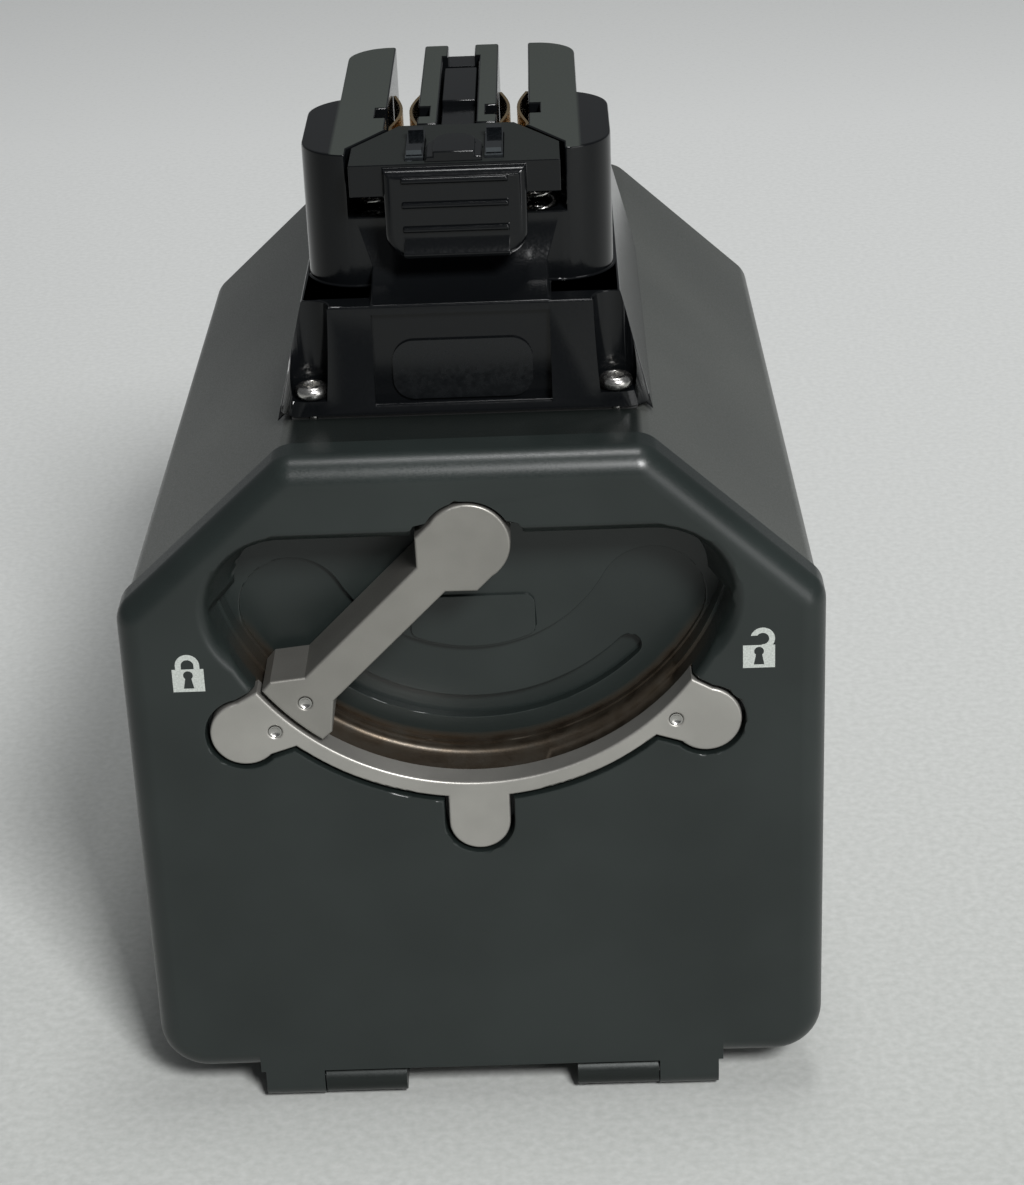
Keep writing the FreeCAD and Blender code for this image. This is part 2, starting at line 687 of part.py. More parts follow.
def ring_screws():
    parts = []
    start = face + cell("ring_sink") + cell("ring_screw_skin")
    tall = cell("ring_screw_tall")
    under = plug_back - tall - 0.1
    middle = under + tall / 2
    thread = cell("ring_screw_shank")
    for i, (x, z) in enumerate(ring_screw_places()):
        shank = rod("ring_screw_shank_%d" % i, "y", thread, start, middle - start, x, z)
        head = rod("ring_screw_head_%d" % i, "y", cell("ring_screw_head"), under, tall, x, z)
        socket = rod("ring_screw_socket_%d" % i, "y", thread - 0.2, middle, tall, x, z)
        parts.append(cut("ring_screw_%d" % i, fuse("ring_screw_solid_%d" % i, [shank, head]), socket))
    group = doc.addObject("Part::Compound", "ring_screws")
    group.Links = parts
    keep(group, "ring_screws")


def door_pad():
    body = new_body("door_pad")
    half = cell("pad_width") / 2
    low = base + cell("pad_place")
    pad_back(body, "pad", plug_back, cell("pad_thick"), rectangle(-half, half, low, low + cell("pad_tall")))
    round_edges(body, "corners", 3.0, lambda edge: runs_along(edge, Vector(0, 1, 0)))
    keep(body)


# Latch: lever in front, shaft through the door, finger behind it

def lever_turn():
    return Placement(Vector(0, 0, 0), Rotation(Vector(0, 1, 0), sheet.get("lever_swing") / 2),
                     Vector(0, 0, pivot.value))


def latch_lever():
    body = new_body("latch_lever")
    head = cell("lever_head")
    bar = cell("lever_bar") / 2
    foot = cell("lever_foot") / 2
    reach = cell("lever_reach")
    neck = pivot - cell("lever_neck")
    side = [(head - 0.1, pivot), (head - 0.1, neck), (bar, neck - 2.5), (bar, pivot - reach + 5.0),
            (foot, pivot - reach + 1.9), (foot - 0.2, pivot - reach - 1)]
    mirror = [(-x, z) for x, z in reversed(side)]
    pad_back(body, "bar", face, cell("lever_thick"), polygon(side + mirror))
    pad_back(body, "head", face, cell("lever_thick"), circle(0, pivot, head))
    cut_back(body, "foot_arc", face, cell("lever_thick"), circle(0, pivot, reach), circle(0, pivot, reach + 6))
    track_z = pivot - cell("track_radius")
    cut_back(body, "dimple", face, cell("dimple_depth"), circle(0, pivot - reach + 2.6, cell("dimple_radius")))
    back = face + cell("lever_thick")
    cut_back(body, "pin_seat", back - 3, 3, circle(0, track_z, cell("guide_pin_radius")))
    cut_back(body, "shaft_seat", back - 4, 4, circle(0, pivot, cell("shaft_radius")))
    round_edges(body, "front_edges", cell("soft_edge"), lambda edge: lies_at(edge, face))
    body.Placement = lever_turn()
    keep(body)


def lever_guide_pin():
    body = new_body("lever_guide_pin")
    start = face + cell("lever_thick") - 3
    finish = kidney_floor + cell("track_depth") - 0.3
    pad_back(body, "pin", start, finish - start,
             circle(0, pivot - cell("track_radius"), cell("guide_pin_radius")))
    body.Placement = lever_turn()
    keep(body)


def latch_shaft():
    body = new_body("latch_shaft")
    start = face + cell("lever_thick") - 4
    shoulder = face + cell("finger_place")
    finish = shoulder + cell("finger_thick") + cell("nut_thick")
    pad_back(body, "journal", start, shoulder - start, circle(0, pivot, cell("shaft_radius")))
    pad_back(body, "neck", shoulder, finish - shoulder, circle(0, pivot, cell("shaft_neck")))
    keep(body)


def shaft_bush():
    body = new_body("shaft_bush")
    start = recess_floor + cell("seal_ring_wire") - 0.4
    pad_back(body, "bush", start, plug_back - start, circle(0, pivot, cell("bush_radius")),
             circle(0, pivot, cell("shaft_radius") + cell("running_fit")))
    keep(body)


def shaft_seal():
    ring = doc.addObject("Part::Torus", "shaft_seal")
    wire = cell("seal_ring_wire") / 2
    ring.setExpression("Radius1", (cell("shaft_radius") + cell("running_fit") + wire).text)
    ring.setExpression("Radius2", wire.text)
    centre = recess_floor + cell("seal_ring_wire") - 0.4 - wire
    locate(ring, 0, centre, pivot, Rotation(Vector(1, 0, 0), -90))
    keep(ring, "shaft_seal")


def shaft_spacer():
    body = new_body("shaft_spacer")
    start = plug_back + 0.1
    finish = face + cell("finger_place")
    pad_back(body, "spacer", start, finish - start, circle(0, pivot, cell("shaft_radius") + 0.7),
             circle(0, pivot, cell("shaft_radius")))
    keep(body)


def latch_finger():
    body = new_body("latch_finger")
    start = face + cell("finger_place")
    half = cell("finger_width") / 2
    pad_back(body, "hub", start, cell("finger_thick"), circle(0, pivot, cell("finger_hub")))
    pad_back(body, "arm", start, cell("finger_thick"),
             rectangle(-half, half, pivot, pivot + cell("finger_reach")))
    cut_back(body, "bore", start, cell("finger_thick"), circle(0, pivot, cell("shaft_neck")))
    keep(body)


def shaft_nut():
    body = new_body("shaft_nut")
    start = face + cell("finger_place") + cell("finger_thick")
    corner = cell("nut_radius")
    corners = [(corner * math.cos(math.radians(60 * i)), pivot + corner * math.sin(math.radians(60 * i)))
               for i in range(6)]
    pad_back(body, "nut", start, cell("nut_thick"), polygon(corners), circle(0, pivot, cell("shaft_neck")))
    keep(body)


# Case

def housing_shell():
    body = new_body("housing_shell")
    length = cell("housing_length")
    draft = cell("housing_draft")
    pad_back(body, "outside", case_front, length,
             six_sides(half_case, case_bottom, door_side - step, case_top, half_top - step))
    for side, word in ((-1, "left"), (1, "right")):
        wide = (half_case + 1) * side
        cut_down(body, word + "_draft", case_top + 1, cell("door_height") + 2,
                 polygon([(half_case * side, case_front), (wide, case_front), (wide, case_back + 1),
                          ((half_case - draft) * side, case_back + 1), ((half_case - draft) * side, case_back)]))
    round_edges(body, "lower_corners", cell("corner_round"),
                lambda edge: edge.BoundBox.YLength > 50 and edge.CenterOfMass.z < door_side.value / 2)
    round_edges(body, "ridges", cell("ridge_round"),
                lambda edge: edge.BoundBox.YLength > 50 and edge.BoundBox.ZLength < 4
                and edge.CenterOfMass.z > door_side.value - 5)
    round_edges(body, "back_edge", cell("back_round"),
                lambda edge: near(edge.BoundBox.YMin, case_back) and near(edge.BoundBox.YMax, case_back))
    cut_back(body, "bay", case_front, length - wall,
             six_sides(half_case, case_bottom, door_side - step, case_top, half_top - step, wall))
    for side, word in ((-1, "left"), (1, "right")):
        start = cell("rail_inner") if side > 0 else -cell("rail_inner") - cell("rail_width")
        width = cell("rail_width")
        pad_right(body, word + "_runner", start, width,
                  rectangle(case_front, case_front + cell("rail_length"), 0, base + cell("rail_sink")))
        pad_right(body, word + "_link", start, width,
                  rectangle(hinge_y, case_front + 1, hinge_z - cell("barrel_radius") + 0.2,
                            hinge_z + cell("barrel_radius") - 0.2))
        pad_right(body, word + "_barrel", start, width, circle(hinge_y, hinge_z, cell("barrel_radius")))
        cut_right(body, word + "_hole", start, width, circle(hinge_y, hinge_z, cell("pin_radius")))
    striker_y = face + cell("striker_place")
    striker_z = pivot + cell("striker_rise")
    half = cell("striker_half")
    reach = cell("striker_radius")
    for side, word in ((-1, "left"), (1, "right")):
        start = half - cell("lug_width") if side > 0 else -half
        pad_right(body, word + "_lug", start, cell("lug_width"),
                  rectangle(striker_y - 1, striker_y + 1, striker_z - reach, case_top - wall + 0.5))
    cut_right(body, "striker_hole", -half, half * 2, circle(striker_y, striker_z, reach - 0.4))
    block = cell("block_width") / 2 + 0.3
    block_y = face + cell("block_place")
    cut_down(body, "top_opening", case_top + 1, wall + 1.5,
             rectangle(-block, block, block_y - 0.3, block_y + cell("block_length") + 0.3))
    cut_down(body, "screw_holes", case_top + 1, wall + 1.5, *[circle(x, y, cell("screw_shank"))
                                                             for x, y in head_screw_places()])
    keep(body)


def head_screw_places():
    front = face + cell("screw_place")
    back = head_back - (front - head_front)
    across = half_skirt - cell("screw_edge")
    return [(across * side, y) for side in (-1, 1) for y in (front, back)]


def striker_pin():
    half = cell("striker_half")
    keep(rod("striker_pin", "x", cell("striker_radius") - 0.4, -half, half * 2,
             face + cell("striker_place"), pivot + cell("striker_rise")), "striker_pin")


def hinge_pins():
    length = cell("rail_width") + cell("hinge_gap") + cell("tab_width")
    for side, word in ((-1, "left"), (1, "right")):
        start = cell("rail_inner") if side > 0 else -cell("rail_inner") - length
        pin = rod("hinge_pin_" + word, "x", cell("pin_radius"), start, length, hinge_y, hinge_z)
        keep(pin, "hinge_pin_" + word)


def guide_rails():
    thick = cell("guide_rail_thick")
    low = base + cell("guide_rail_height")
    start = face + cell("guide_rail_place")
    inner = half_case - wall
    for side, word in ((-1, "left"), (1, "right")):
        body = new_body("guide_rail_" + word)
        lip = 0.8
        corners = [(inner, low), (inner - thick, low + lip), (inner - thick, low + cell("guide_rail_tall") - lip),
                   (inner, low + cell("guide_rail_tall"))]
        pad_back(body, "rail", start, cell("guide_rail_length"), polygon([(x * side, z) for x, z in corners]))
        keep(body)


def rear_bumper():
    body = new_body("rear_bumper")
    half = cell("bumper_size") / 2
    thick = cell("bumper_thick")
    middle = (base + case_top) / 2
    pad_back(body, "pad", case_back - wall - thick, thick, rectangle(-half, half, middle - half, middle + half))
    round_edges(body, "corners", 4.0, lambda edge: runs_along(edge, Vector(0, 1, 0)))
    keep(body)


# Head

def head_gasket():
    body = new_body("head_gasket")
    half = half_top - step - 0.2
    block = cell("block_width") / 2 + 0.3
    block_y = face + cell("block_place")
    pad_up(body, "sheet", case_top, cell("head_seal"),
           rectangle(-half, half, head_front + 0.6, head_back - 0.6))
    cut_down(body, "block_opening", head_bottom, cell("head_seal"),
             rectangle(-block, block, block_y - 0.3, block_y + cell("block_length") + 0.3))
    cut_down(body, "screw_holes", head_bottom, cell("head_seal"),
             *[circle(x, y, cell("screw_shank") + 0.2) for x, y in head_screw_places()])
    keep(body)


def plate_outline(grow):
    half = cell("plate_width") / 2 + grow
    narrow = cell("plate_back") / 2 + size(grow) * 0.6
    kink = plate_front + cell("plate_straight")
    return [(-half, plate_front), (half, plate_front), (half, kink), (narrow, plate_back_y + grow),
            (-narrow, plate_back_y + grow), (-half, kink)]


def head_base():
    body = new_body("head_base")
    half = half_skirt
    slope = cell("skirt_slope")
    lean = cell("skirt_lean")
    pad_up(body, "skirt", head_bottom, cell("skirt_tall"), rectangle(-half, half, head_front, head_back))
    for side, word in ((-1, "left"), (1, "right")):
        wide = (half + 2) * side
        cut_back(body, word + "_slope", head_front - 1, cell("skirt_length") + 2,
                 polygon([(half * side, head_bottom), (wide, head_bottom), (wide, shelf),
                          ((half - slope) * side, shelf)]))
    cut_right(body, "front_slope", -half - 1, half * 2 + 2,
              polygon([(head_front, head_bottom), (head_front + lean, shelf), (head_front - 2, shelf),
                       (head_front - 2, head_bottom)]))
    cut_right(body, "back_slope", -half - 1, half * 2 + 2,
              polygon([(head_back, head_bottom), (head_back - lean * 3, shelf), (head_back + 2, shelf),
                       (head_back + 2, head_bottom)]))
    round_edges(body, "skirt_corners", 3.0,
                lambda edge: edge.BoundBox.ZLength > 5)
    # cheeks that follow the case's slanted sides, one seal's thickness away
    seal = cell("head_seal")
    run = half_door - half_top
    rise = cell("slant_drop")
    gap = seal * root(run * run + rise * rise)
    ridge = half_top - step
    tip = half + 0.3
    tip_z = case_top + (gap - (tip - ridge) * rise) / run
    for side, word in ((-1, "left"), (1, "right")):
        corners = [(ridge + (gap - seal * run) / rise, head_bottom), (tip, tip_z),
                   (half - 0.1, head_bottom + 0.4), (ridge, head_bottom + 0.4)]
        pad_back(body, word + "_cheek", head_front + 2.2, cell("skirt_length") - 7,
                 polygon([(x * side, z) for x, z in corners]))
    neck = cell("neck_width") / 2
    tall = head_top - shelf
    pad_up(body, "neck", shelf, tall, rectangle(-neck, neck, neck_front, neck_back))
    round_edges(body, "neck_corners", cell("neck_round"),
                lambda edge: runs_along(edge, Vector(0, 0, 1)) and near(abs(edge.CenterOfMass.x), neck))
    tail = cell("tail_width") / 2
    pad_up(body, "tail", shelf, tall, rectangle(-tail, tail, neck_back - cell("neck_round") - 2, tail_back))
    round_edges(body, "tail_corners", 5.0,
                lambda edge: runs_along(edge, Vector(0, 0, 1)) and near(edge.CenterOfMass.y, tail_back))
    cut_down(body, "plate_pocket", head_top, head_top - plate_floor, polygon(plate_outline(cell("plate_gap"))))
    slot_front = plate_back_y - 1
    slot_tall = cell("slot_depth")
    inner = cell("slot_inner")
    cut_down(body, "contact_slots", head_top, slot_tall,
             rectangle(inner, slot_outer, slot_front, tail_back + 2),
             rectangle(-slot_outer, -inner, slot_front, tail_back + 2))
    channel = cell("channel_width") / 2
    cut_down(body, "channel", head_top, 10, rectangle(-channel, channel, slot_front, tail_back - 5))
    cut_down(body, "channel_end", head_top, 1.4,
             rectangle(0.6 - channel, channel - 0.6, tail_back - 6, tail_back + 2))
    notch = slot_front + 4.5
    cut_down(body, "contact_notches", head_top, slot_tall - 1,
             *[rectangle(x, x + 1.3, notch, notch + 4) for x in
               (slot_outer, inner - 1.3, -inner, -slot_outer - 1.3)])
    cut_down(body, "spring_seats", plate_floor, 5,
             circle(cell("spring_across"), neck_front + cell("spring_place"), cell("spring_radius") + 0.4),
             circle(-cell("spring_across"), neck_front + cell("spring_place"), cell("spring_radius") + 0.4))
    ramp = cell("ramp_width") / 2
    pad_right(body, "ramp", -ramp, ramp * 2,
              polygon([(head_front + lean, shelf), (neck_front + 0.2, shelf + cell("ramp_rise")),
                       (neck_front + 0.2, shelf - 0.5), (head_front + lean + 0.5, shelf - 0.5)]))
    hollow_half = half - cell("hollow_side")
    hollow = build("PartDesign::Pocket", body, "hollow", "XY_Plane", head_bottom, cell("hollow_tall"),
                   [rectangle(-hollow_half, hollow_half, head_front + cell("hollow_front"),
                              head_back - cell("hollow_back"))], True)
    body.Tip = hollow
    for side, word in ((-1, "left"), (1, "right")):
        middle = (cell("slot_inner") + slot_outer) / 2 * side
        half_bar = cell("bar_width") / 2 + 0.1
        start = plate_back_y + cell("contact_place") - 0.3
        cut_down(body, word + "_bar_slot", slot_floor + 0.5, 8,
                 rectangle(middle - half_bar, middle + half_bar, start, start + cell("bar_thick") + 0.2))
    cut_back(body, "panel", head_front - 1, lean + 1.3 + cell("panel_depth"),
             rectangle(-ramp, ramp, head_bottom + 0.8, shelf - 1.0))
    seat = cell("screw_head") + 0.5
    cut_down(body, "screw_seats", shelf + 2, cell("skirt_tall") + 2 - cell("screw_seat"),
             *[circle(x, y, seat) for x, y in head_screw_places()])
    cut_down(body, "screw_holes", head_bottom + cell("screw_seat") + 1, cell("screw_seat") + 2,
             *[circle(x, y, cell("screw_shank") + 0.2) for x, y in head_screw_places()])
    keep(body)


def label_plate():
    body = new_body("label_plate")
    thick = cell("label_thick")
    start = head_front + cell("skirt_lean") + 0.3 + cell("panel_depth") - thick
    half = cell("label_width") / 2
    low = head_bottom + cell("label_place")
    pad_back(body, "plate", start, thick, rectangle(-half, half, low, low + cell("label_tall")))
    round_edges(body, "corners", 2.4, lambda edge: runs_along(edge, Vector(0, 1, 0)))
    keep(body)


def head_screws():
    parts = []
    top = head_bottom + cell("screw_seat")
    for i, (x, y) in enumerate(head_screw_places()):
        shank = rod("head_screw_shank_%d" % i, "z", cell("screw_shank"), case_top - wall, top - case_top + wall, x, y)
        head = rod("head_screw_head_%d" % i, "z", cell("screw_head"), top, 1.6, x, y)
        socket = rod("head_screw_socket_%d" % i, "z", 1.0, top + 0.7, 1.5, x, y)
        parts.append(cut("head_screw_%d" % i, fuse("head_screw_solid_%d" % i, [shank, head]), socket))
    group = doc.addObject("Part::Compound", "head_screws")
    group.Links = parts
    keep(group, "head_screws")


def release_button():
    body = new_body("release_button")
    front = button_front
    half = cell("button_width") / 2
    low = head_top - cell("button_tall")
    thick = cell("button_thick")
    pad_back(body, "thumb_plate", front, thick, rectangle(-half, half, low, head_top - 0.4))
    round_edges(body, "thumb_corners", 3.0,
                lambda edge: runs_along(edge, Vector(0, 1, 0)) and near(edge.CenterOfMass.z, low))
    round_edges(body, "thumb_edge", 1.0,
                lambda edge: near(edge.BoundBox.YMin, front) and near(edge.BoundBox.YMax, front))
    pad_up(body, "plate", plate_under, cell("plate_thick"), polygon(plate_outline(0)))
    web = half - 1.5
    pad_back(body, "web", front + thick - 0.5, neck_front - 0.3 - front - thick + 0.5,
             rectangle(-web, web, plate_under - 3.2, head_top - 0.4))
    pitch = cell("rib_pitch")
    half_rib = cell("rib_width") / 2
    for i in range(3):
        middle = head_top - 1.5 - pitch * i
        pad_back(body, "rib_%d" % i, front - cell("rib_proud"), 1.5,
                 rectangle(2 - half, half - 2, middle - half_rib, middle + half_rib))
    lip = cell("lip_proud")
    lip_top = low + cell("lip_tall")
    pad_right(body, "lip", 2 - half, (half - 2) * 2,
              polygon([(front + 0.5, lip_top), (front, lip_top), (front - lip, low + 0.9),
                       (front - lip * 0.7, low + 0.4), (front + 0.5, low + 0.4)]))
    bump = cell("bump_half")
    bump_low = plate_front + 0.4
    bump_back = bump_low + cell("bump_length")
    for name, half_bump, tall in (("bump", bump, cell("bump_tall") / 2), ("bump_top", bump - 0.8, cell("bump_tall"))):
        pad_up(body, name, head_top - 1, tall + 1, rectangle(-half_bump, half_bump, bump_low, bump_back))
        pad_up(body, name + "_end", head_top - 1, tall + 1, circle(0, bump_back, half_bump))
    tongue = cell("channel_width") / 2 - cell("tongue_play")
    pad_up(body, "tongue_low", plate_under - 1, 3.2,
           rectangle(-tongue, tongue, plate_back_y - 1, plate_back_y + 12))
    pad_up(body, "tongue_high", plate_under - 1, 4.0,
           rectangle(-tongue, tongue, plate_back_y + 12, plate_back_y + 26))
    for side, word in ((-1, "left"), (1, "right")):
        low, high = teeth_span(side)
        start = plate_front + 1.2
        cut_down(body, word + "_tooth_seat", head_top, 1.2,
                 rectangle(low, high, start, start + cell("teeth_length")))
    keep(body)


def teeth_span(side):
    inner = cell("bump_half") + cell("teeth_gap")
    outer = inner + cell("teeth_width")
    return (inner, outer) if side > 0 else (-outer, -inner)


def latch_teeth():
    parts = []
    start = plate_front + 1.2
    for i, side in enumerate((-1, 1)):
        x = teeth_span(side)
        finish = start + cell("teeth_length")
        blocks = [box("tooth_base_%d" % i, x, (start, finish), (head_top - 1.2, head_top + 0.5))]
        for j, (place, tall) in enumerate(((0.3, 1.1), (2.4, 0.8), (7.2, 1.3))):
            blocks.append(box("tooth_ridge_%d_%d" % (i, j), (x[0] + 0.15, x[1] - 0.15),
                              (start + place, start + place + 1.3), (head_top, head_top + tall)))
        parts.append(fuse("tooth_%d" % i, blocks))
    group = doc.addObject("Part::Compound", "latch_teeth")
    group.Links = parts
    keep(group, "latch_teeth")


def coil_path(radius, rise, turns):
    # A helix drawn as short arcs, four to a turn
    spots = []
    steps = turns * 8
    for i in range(steps + 1):
        angle = math.pi * i / 4
        spots.append(Vector(radius * math.cos(angle), radius * math.sin(angle), rise * i / steps))
    return Part.Wire([Part.Arc(*spots[i:i + 3]).toShape() for i in range(0, steps, 2)])


def button_springs():
    wire = cell("spring_wire").value / 2
    radius = cell("spring_radius").value - wire
    low = plate_floor.value - 5 + wire
    high = plate_under.value - wire
    place = neck_front.value + cell("spring_place").value
    for side, word in ((-1, "left"), (1, "right")):
        profile = Part.Wire(Part.makeCircle(wire, Vector(radius, 0, 0), Vector(0, 1, 0)))
        piece = doc.addObject("Part::Feature", "button_spring_" + word)
        piece.Shape = coil_path(radius, high - low, 5).makePipeShell([profile], True, True)
        piece.Placement = Placement(Vector(cell("spring_across").value * side, place, low), Rotation())
        keep(piece, "button_spring_" + word)


def strip(points, thick, low, tall):
    # A bent strip of even thickness that stands on its edge
    left = []
    right = []
    for i, point in enumerate(points):
        before = points[max(i - 1, 0)]
        after = points[min(i + 1, len(points) - 1)]
        way = (after - before).normalize()
        across = Vector(-way.y, way.x, 0) * (thick / 2)
        left.append(point + across)
        right.append(point - across)
    outline = left + right[::-1]
    outline.append(outline[0])
    flat = Part.Face(Part.makePolygon([Vector(p.x, p.y, low) for p in outline]))
    return flat.extrude(Vector(0, 0, tall))


def spring_contacts():
    # Two bowed leaves on a cross piece grip the tool's blade
    thick = cell("contact_thick").value
    inner = cell("slot_inner").value
    outer = slot_outer.value
    low = slot_floor.value + 1.5
    tall = cell("contact_tall").value
    front = (plate_back_y + cell("contact_place")).value
    middle = (inner + outer) / 2
    half = (outer - inner) / 2 - thick / 2 - 0.03
    leaf = [(0, 0), (4.5, 0)]
    for i in range(1, 12):
        part = i / 12
        leaf.append((4.5 + 13 * part, 1.05 * math.sin(math.pi * part)))
    leaf.append((17.5, 0))
    for side, word in ((-1, "left"), (1, "right")):
        leaves = []
        for wall_side in (-1, 1):
            points = [Vector(middle * side + wall_side * (half - bow), front + run, 0) for run, bow in leaf]
            leaves.append(strip(points, thick, low, tall))
        bridge = Part.makeBox((half + thick / 2) * 2, thick, tall,
                              Vector(middle * side - half - thick / 2, front - thick / 2, low))
        piece = doc.addObject("Part::Feature", "spring_contact_" + word)
        piece.Shape = bridge.fuse(leaves).removeSplitter()
        keep(piece, "spring_contact_" + word)


def bus_bars():
    start = plate_back_y + cell("contact_place") - 0.2
    for side, word in ((-1, "left"), (1, "right")):
        middle = (cell("slot_inner") + slot_outer) / 2 * side
        half = cell("bar_width") / 2
        bar = box("bus_bar_" + word, (middle - half, middle + half), (start, start + cell("bar_thick")),
                  (case_top - wall - 2, slot_floor + 1.5))
        keep(bar, "bus_bar_" + word)


def bay_contact_block():
    body = new_body("bay_contact_block")
    half = cell("block_width") / 2
    start = face + cell("block_place")
    finish = start + cell("block_length")
    under = case_top - wall
    pad_up(body, "boss", under - 2, wall + 6, rectangle(-half, half, start, finish))
    pad_up(body, "flange", under - 4, 4, rectangle(-half - 3, half + 3, start - 3, finish + 3))
    for side, word in ((-1, "left"), (1, "right")):
        middle = (cell("slot_inner") + slot_outer) / 2 * side
        half_bar = cell("bar_width") / 2
        bar_y = plate_back_y + cell("contact_place") - 0.2
        cut_down(body, word + "_bar", under + wall + 5, wall + 7,
                 rectangle(middle - half_bar, middle + half_bar, bar_y, bar_y + cell("bar_thick")))
    keep(body)


def bay_terminals():
    parts = []
    under = case_top - wall - 4
    length = cell("terminal_length")
    start = face + cell("block_place") + (cell("block_length") - length) / 2
    half = cell("terminal_thick") / 2
    for i in range(4):
        x = cell("terminal_pitch") * (i - 1.5)
        parts.append(box("terminal_%d" % i, (x - half, x + half), (start, start + length),
                         (under - cell("terminal_tall"), under)))
    group = doc.addObject("Part::Compound", "bay_terminals")
    group.Links = parts
    keep(group, "bay_terminals")


for make in (door_cover, door_gasket, guide_ring, ring_screws, door_pad, latch_lever, lever_guide_pin,
             latch_shaft, shaft_bush, shaft_seal, shaft_spacer, latch_finger, shaft_nut, housing_shell,
             striker_pin, hinge_pins, guide_rails, rear_bumper, head_gasket, head_base, label_plate,
             head_screws, release_button, latch_teeth, button_springs, spring_contacts, bus_bars,
             bay_contact_block, bay_terminals):
    make()
doc.recompute()

# Check every object, then write each sub-part

for thing in doc.Objects:
    if "Invalid" in thing.State or "Error" in thing.State:
        raise RuntimeError("%s is %s" % (thing.Label, thing.State))
os.makedirs("parts", exist_ok=True)
for thing in nodes:
    shape = thing.Shape
    if shape.isNull() or not shape.isValid() or not shape.Solids:
        raise RuntimeError(thing.Label + " has no valid shape")
for thing in nodes:
    thing.Shape.exportStep("parts/%s.step" % thing.Label)
print("wrote", len(nodes), "sub-parts")
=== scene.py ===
import math

import bpy
from mathutils import Matrix, Vector


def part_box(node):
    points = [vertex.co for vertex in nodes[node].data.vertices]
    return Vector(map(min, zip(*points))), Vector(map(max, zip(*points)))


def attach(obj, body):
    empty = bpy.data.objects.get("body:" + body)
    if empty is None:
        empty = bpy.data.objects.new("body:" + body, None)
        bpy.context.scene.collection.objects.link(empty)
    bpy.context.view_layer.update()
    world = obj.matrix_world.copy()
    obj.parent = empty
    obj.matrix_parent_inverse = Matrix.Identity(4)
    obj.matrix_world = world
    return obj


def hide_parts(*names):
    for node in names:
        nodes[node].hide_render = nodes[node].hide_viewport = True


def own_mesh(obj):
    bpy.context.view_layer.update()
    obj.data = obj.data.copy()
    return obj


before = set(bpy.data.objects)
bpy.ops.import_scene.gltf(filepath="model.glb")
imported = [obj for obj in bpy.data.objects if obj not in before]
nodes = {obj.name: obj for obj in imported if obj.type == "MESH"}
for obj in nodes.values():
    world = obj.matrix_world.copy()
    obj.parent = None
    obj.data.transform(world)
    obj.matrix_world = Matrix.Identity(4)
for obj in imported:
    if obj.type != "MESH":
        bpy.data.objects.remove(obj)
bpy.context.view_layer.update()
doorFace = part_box("door_cover")[0].y  # the door's front plane
pivot = sum(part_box("latch_shaft"), Vector()) / 2  # middle of the lever's shaft
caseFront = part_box("door_gasket")[1].y  # the case's front plane, behind the seal
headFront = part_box("head_base")[0].y
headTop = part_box("head_base")[1].z
print("frame loaded:", len(nodes), "solids")


# Node helpers

def newLook(name):
    look = bpy.data.materials.new(name)
    look.use_nodes = True
    return look, look.node_tree, look.node_tree.nodes["Principled BSDF"]


def addNode(tree, kind, inputs=None, **settings):
    node = tree.nodes.new(kind)
    for key, value in settings.items():
        setattr(node, key, value)
    for key, value in (inputs or {}).items():
        if isinstance(value, bpy.types.NodeSocket):
            tree.links.new(value, node.inputs[key])
        else:
            node.inputs[key].default_value = value
    return node


def spots(tree, scale, detail=2.0):
    coord = addNode(tree, "ShaderNodeTexCoord")
    noise = addNode(tree, "ShaderNodeTexNoise", {"Vector": coord.outputs["Object"], "Scale": scale,
                                                 "Detail": detail})
    return noise.outputs["Fac"]


def spread(tree, value, low, high, toLow=0.0, toHigh=1.0):
    ranged = addNode(tree, "ShaderNodeMapRange", {"Value": value, "From Min": low, "From Max": high,
                                                  "To Min": toLow, "To Max": toHigh})
    return ranged.outputs["Result"]


def mixColours(tree, factor, first, second):
    mixed = addNode(tree, "ShaderNodeMix", data_type="RGBA")
    for key, value in (("Factor", factor), ("A", first), ("B", second)):
        socket = [s for s in mixed.inputs if s.name == key and s.enabled][0]
        if isinstance(value, bpy.types.NodeSocket):
            tree.links.new(value, socket)
        else:
            socket.default_value = value if key == "Factor" else (*value, 1)
    return [s for s in mixed.outputs if s.enabled][0]


def combine(tree, operation, first, second):
    sums = addNode(tree, "ShaderNodeMath", {0: first, 1: second}, operation=operation)
    return sums.outputs["Value"]


def bumpUp(tree, shader, height, strength, distance):
    bump = addNode(tree, "ShaderNodeBump", {"Height": height, "Strength": strength, "Distance": distance})
    tree.links.new(bump.outputs["Normal"], shader.inputs["Normal"])


def dress(look, *names):
    for name in names:
        nodes[name].data.materials.clear()
        nodes[name].data.materials.append(look)


# Blasted and anodised metal of the door and the case

doorLook = {
    "colour": (0.0085, 0.0120, 0.0112),
    "paler": (0.0125, 0.0168, 0.0158),
    "grain": 5200.0,  # blasted grain
    "cloud": 55.0,  # slow change of shade over the face
    "roughness": 0.34,
    "metal": 0.0,
    "shine": 0.45,
    "wornColour": (0.060, 0.047, 0.034),  # rubbed wall below the lever's foot
    "wornRoughness": 0.36,
    "bandInner": 0.0288,  # the rubbed band's radii round the lever's axis
    "bandOuter": 0.0309,
    "bandTop": 0.0030,  # its depths below the door's face
    "bandFloor": 0.0110,
    "bandBegins": 0.0120,  # its fade, below the lever's axis
    "bandFull": 0.0190,
    "streaks": 420.0,
    "wornMetal": 0.9,
    "bump": 0.10,
}


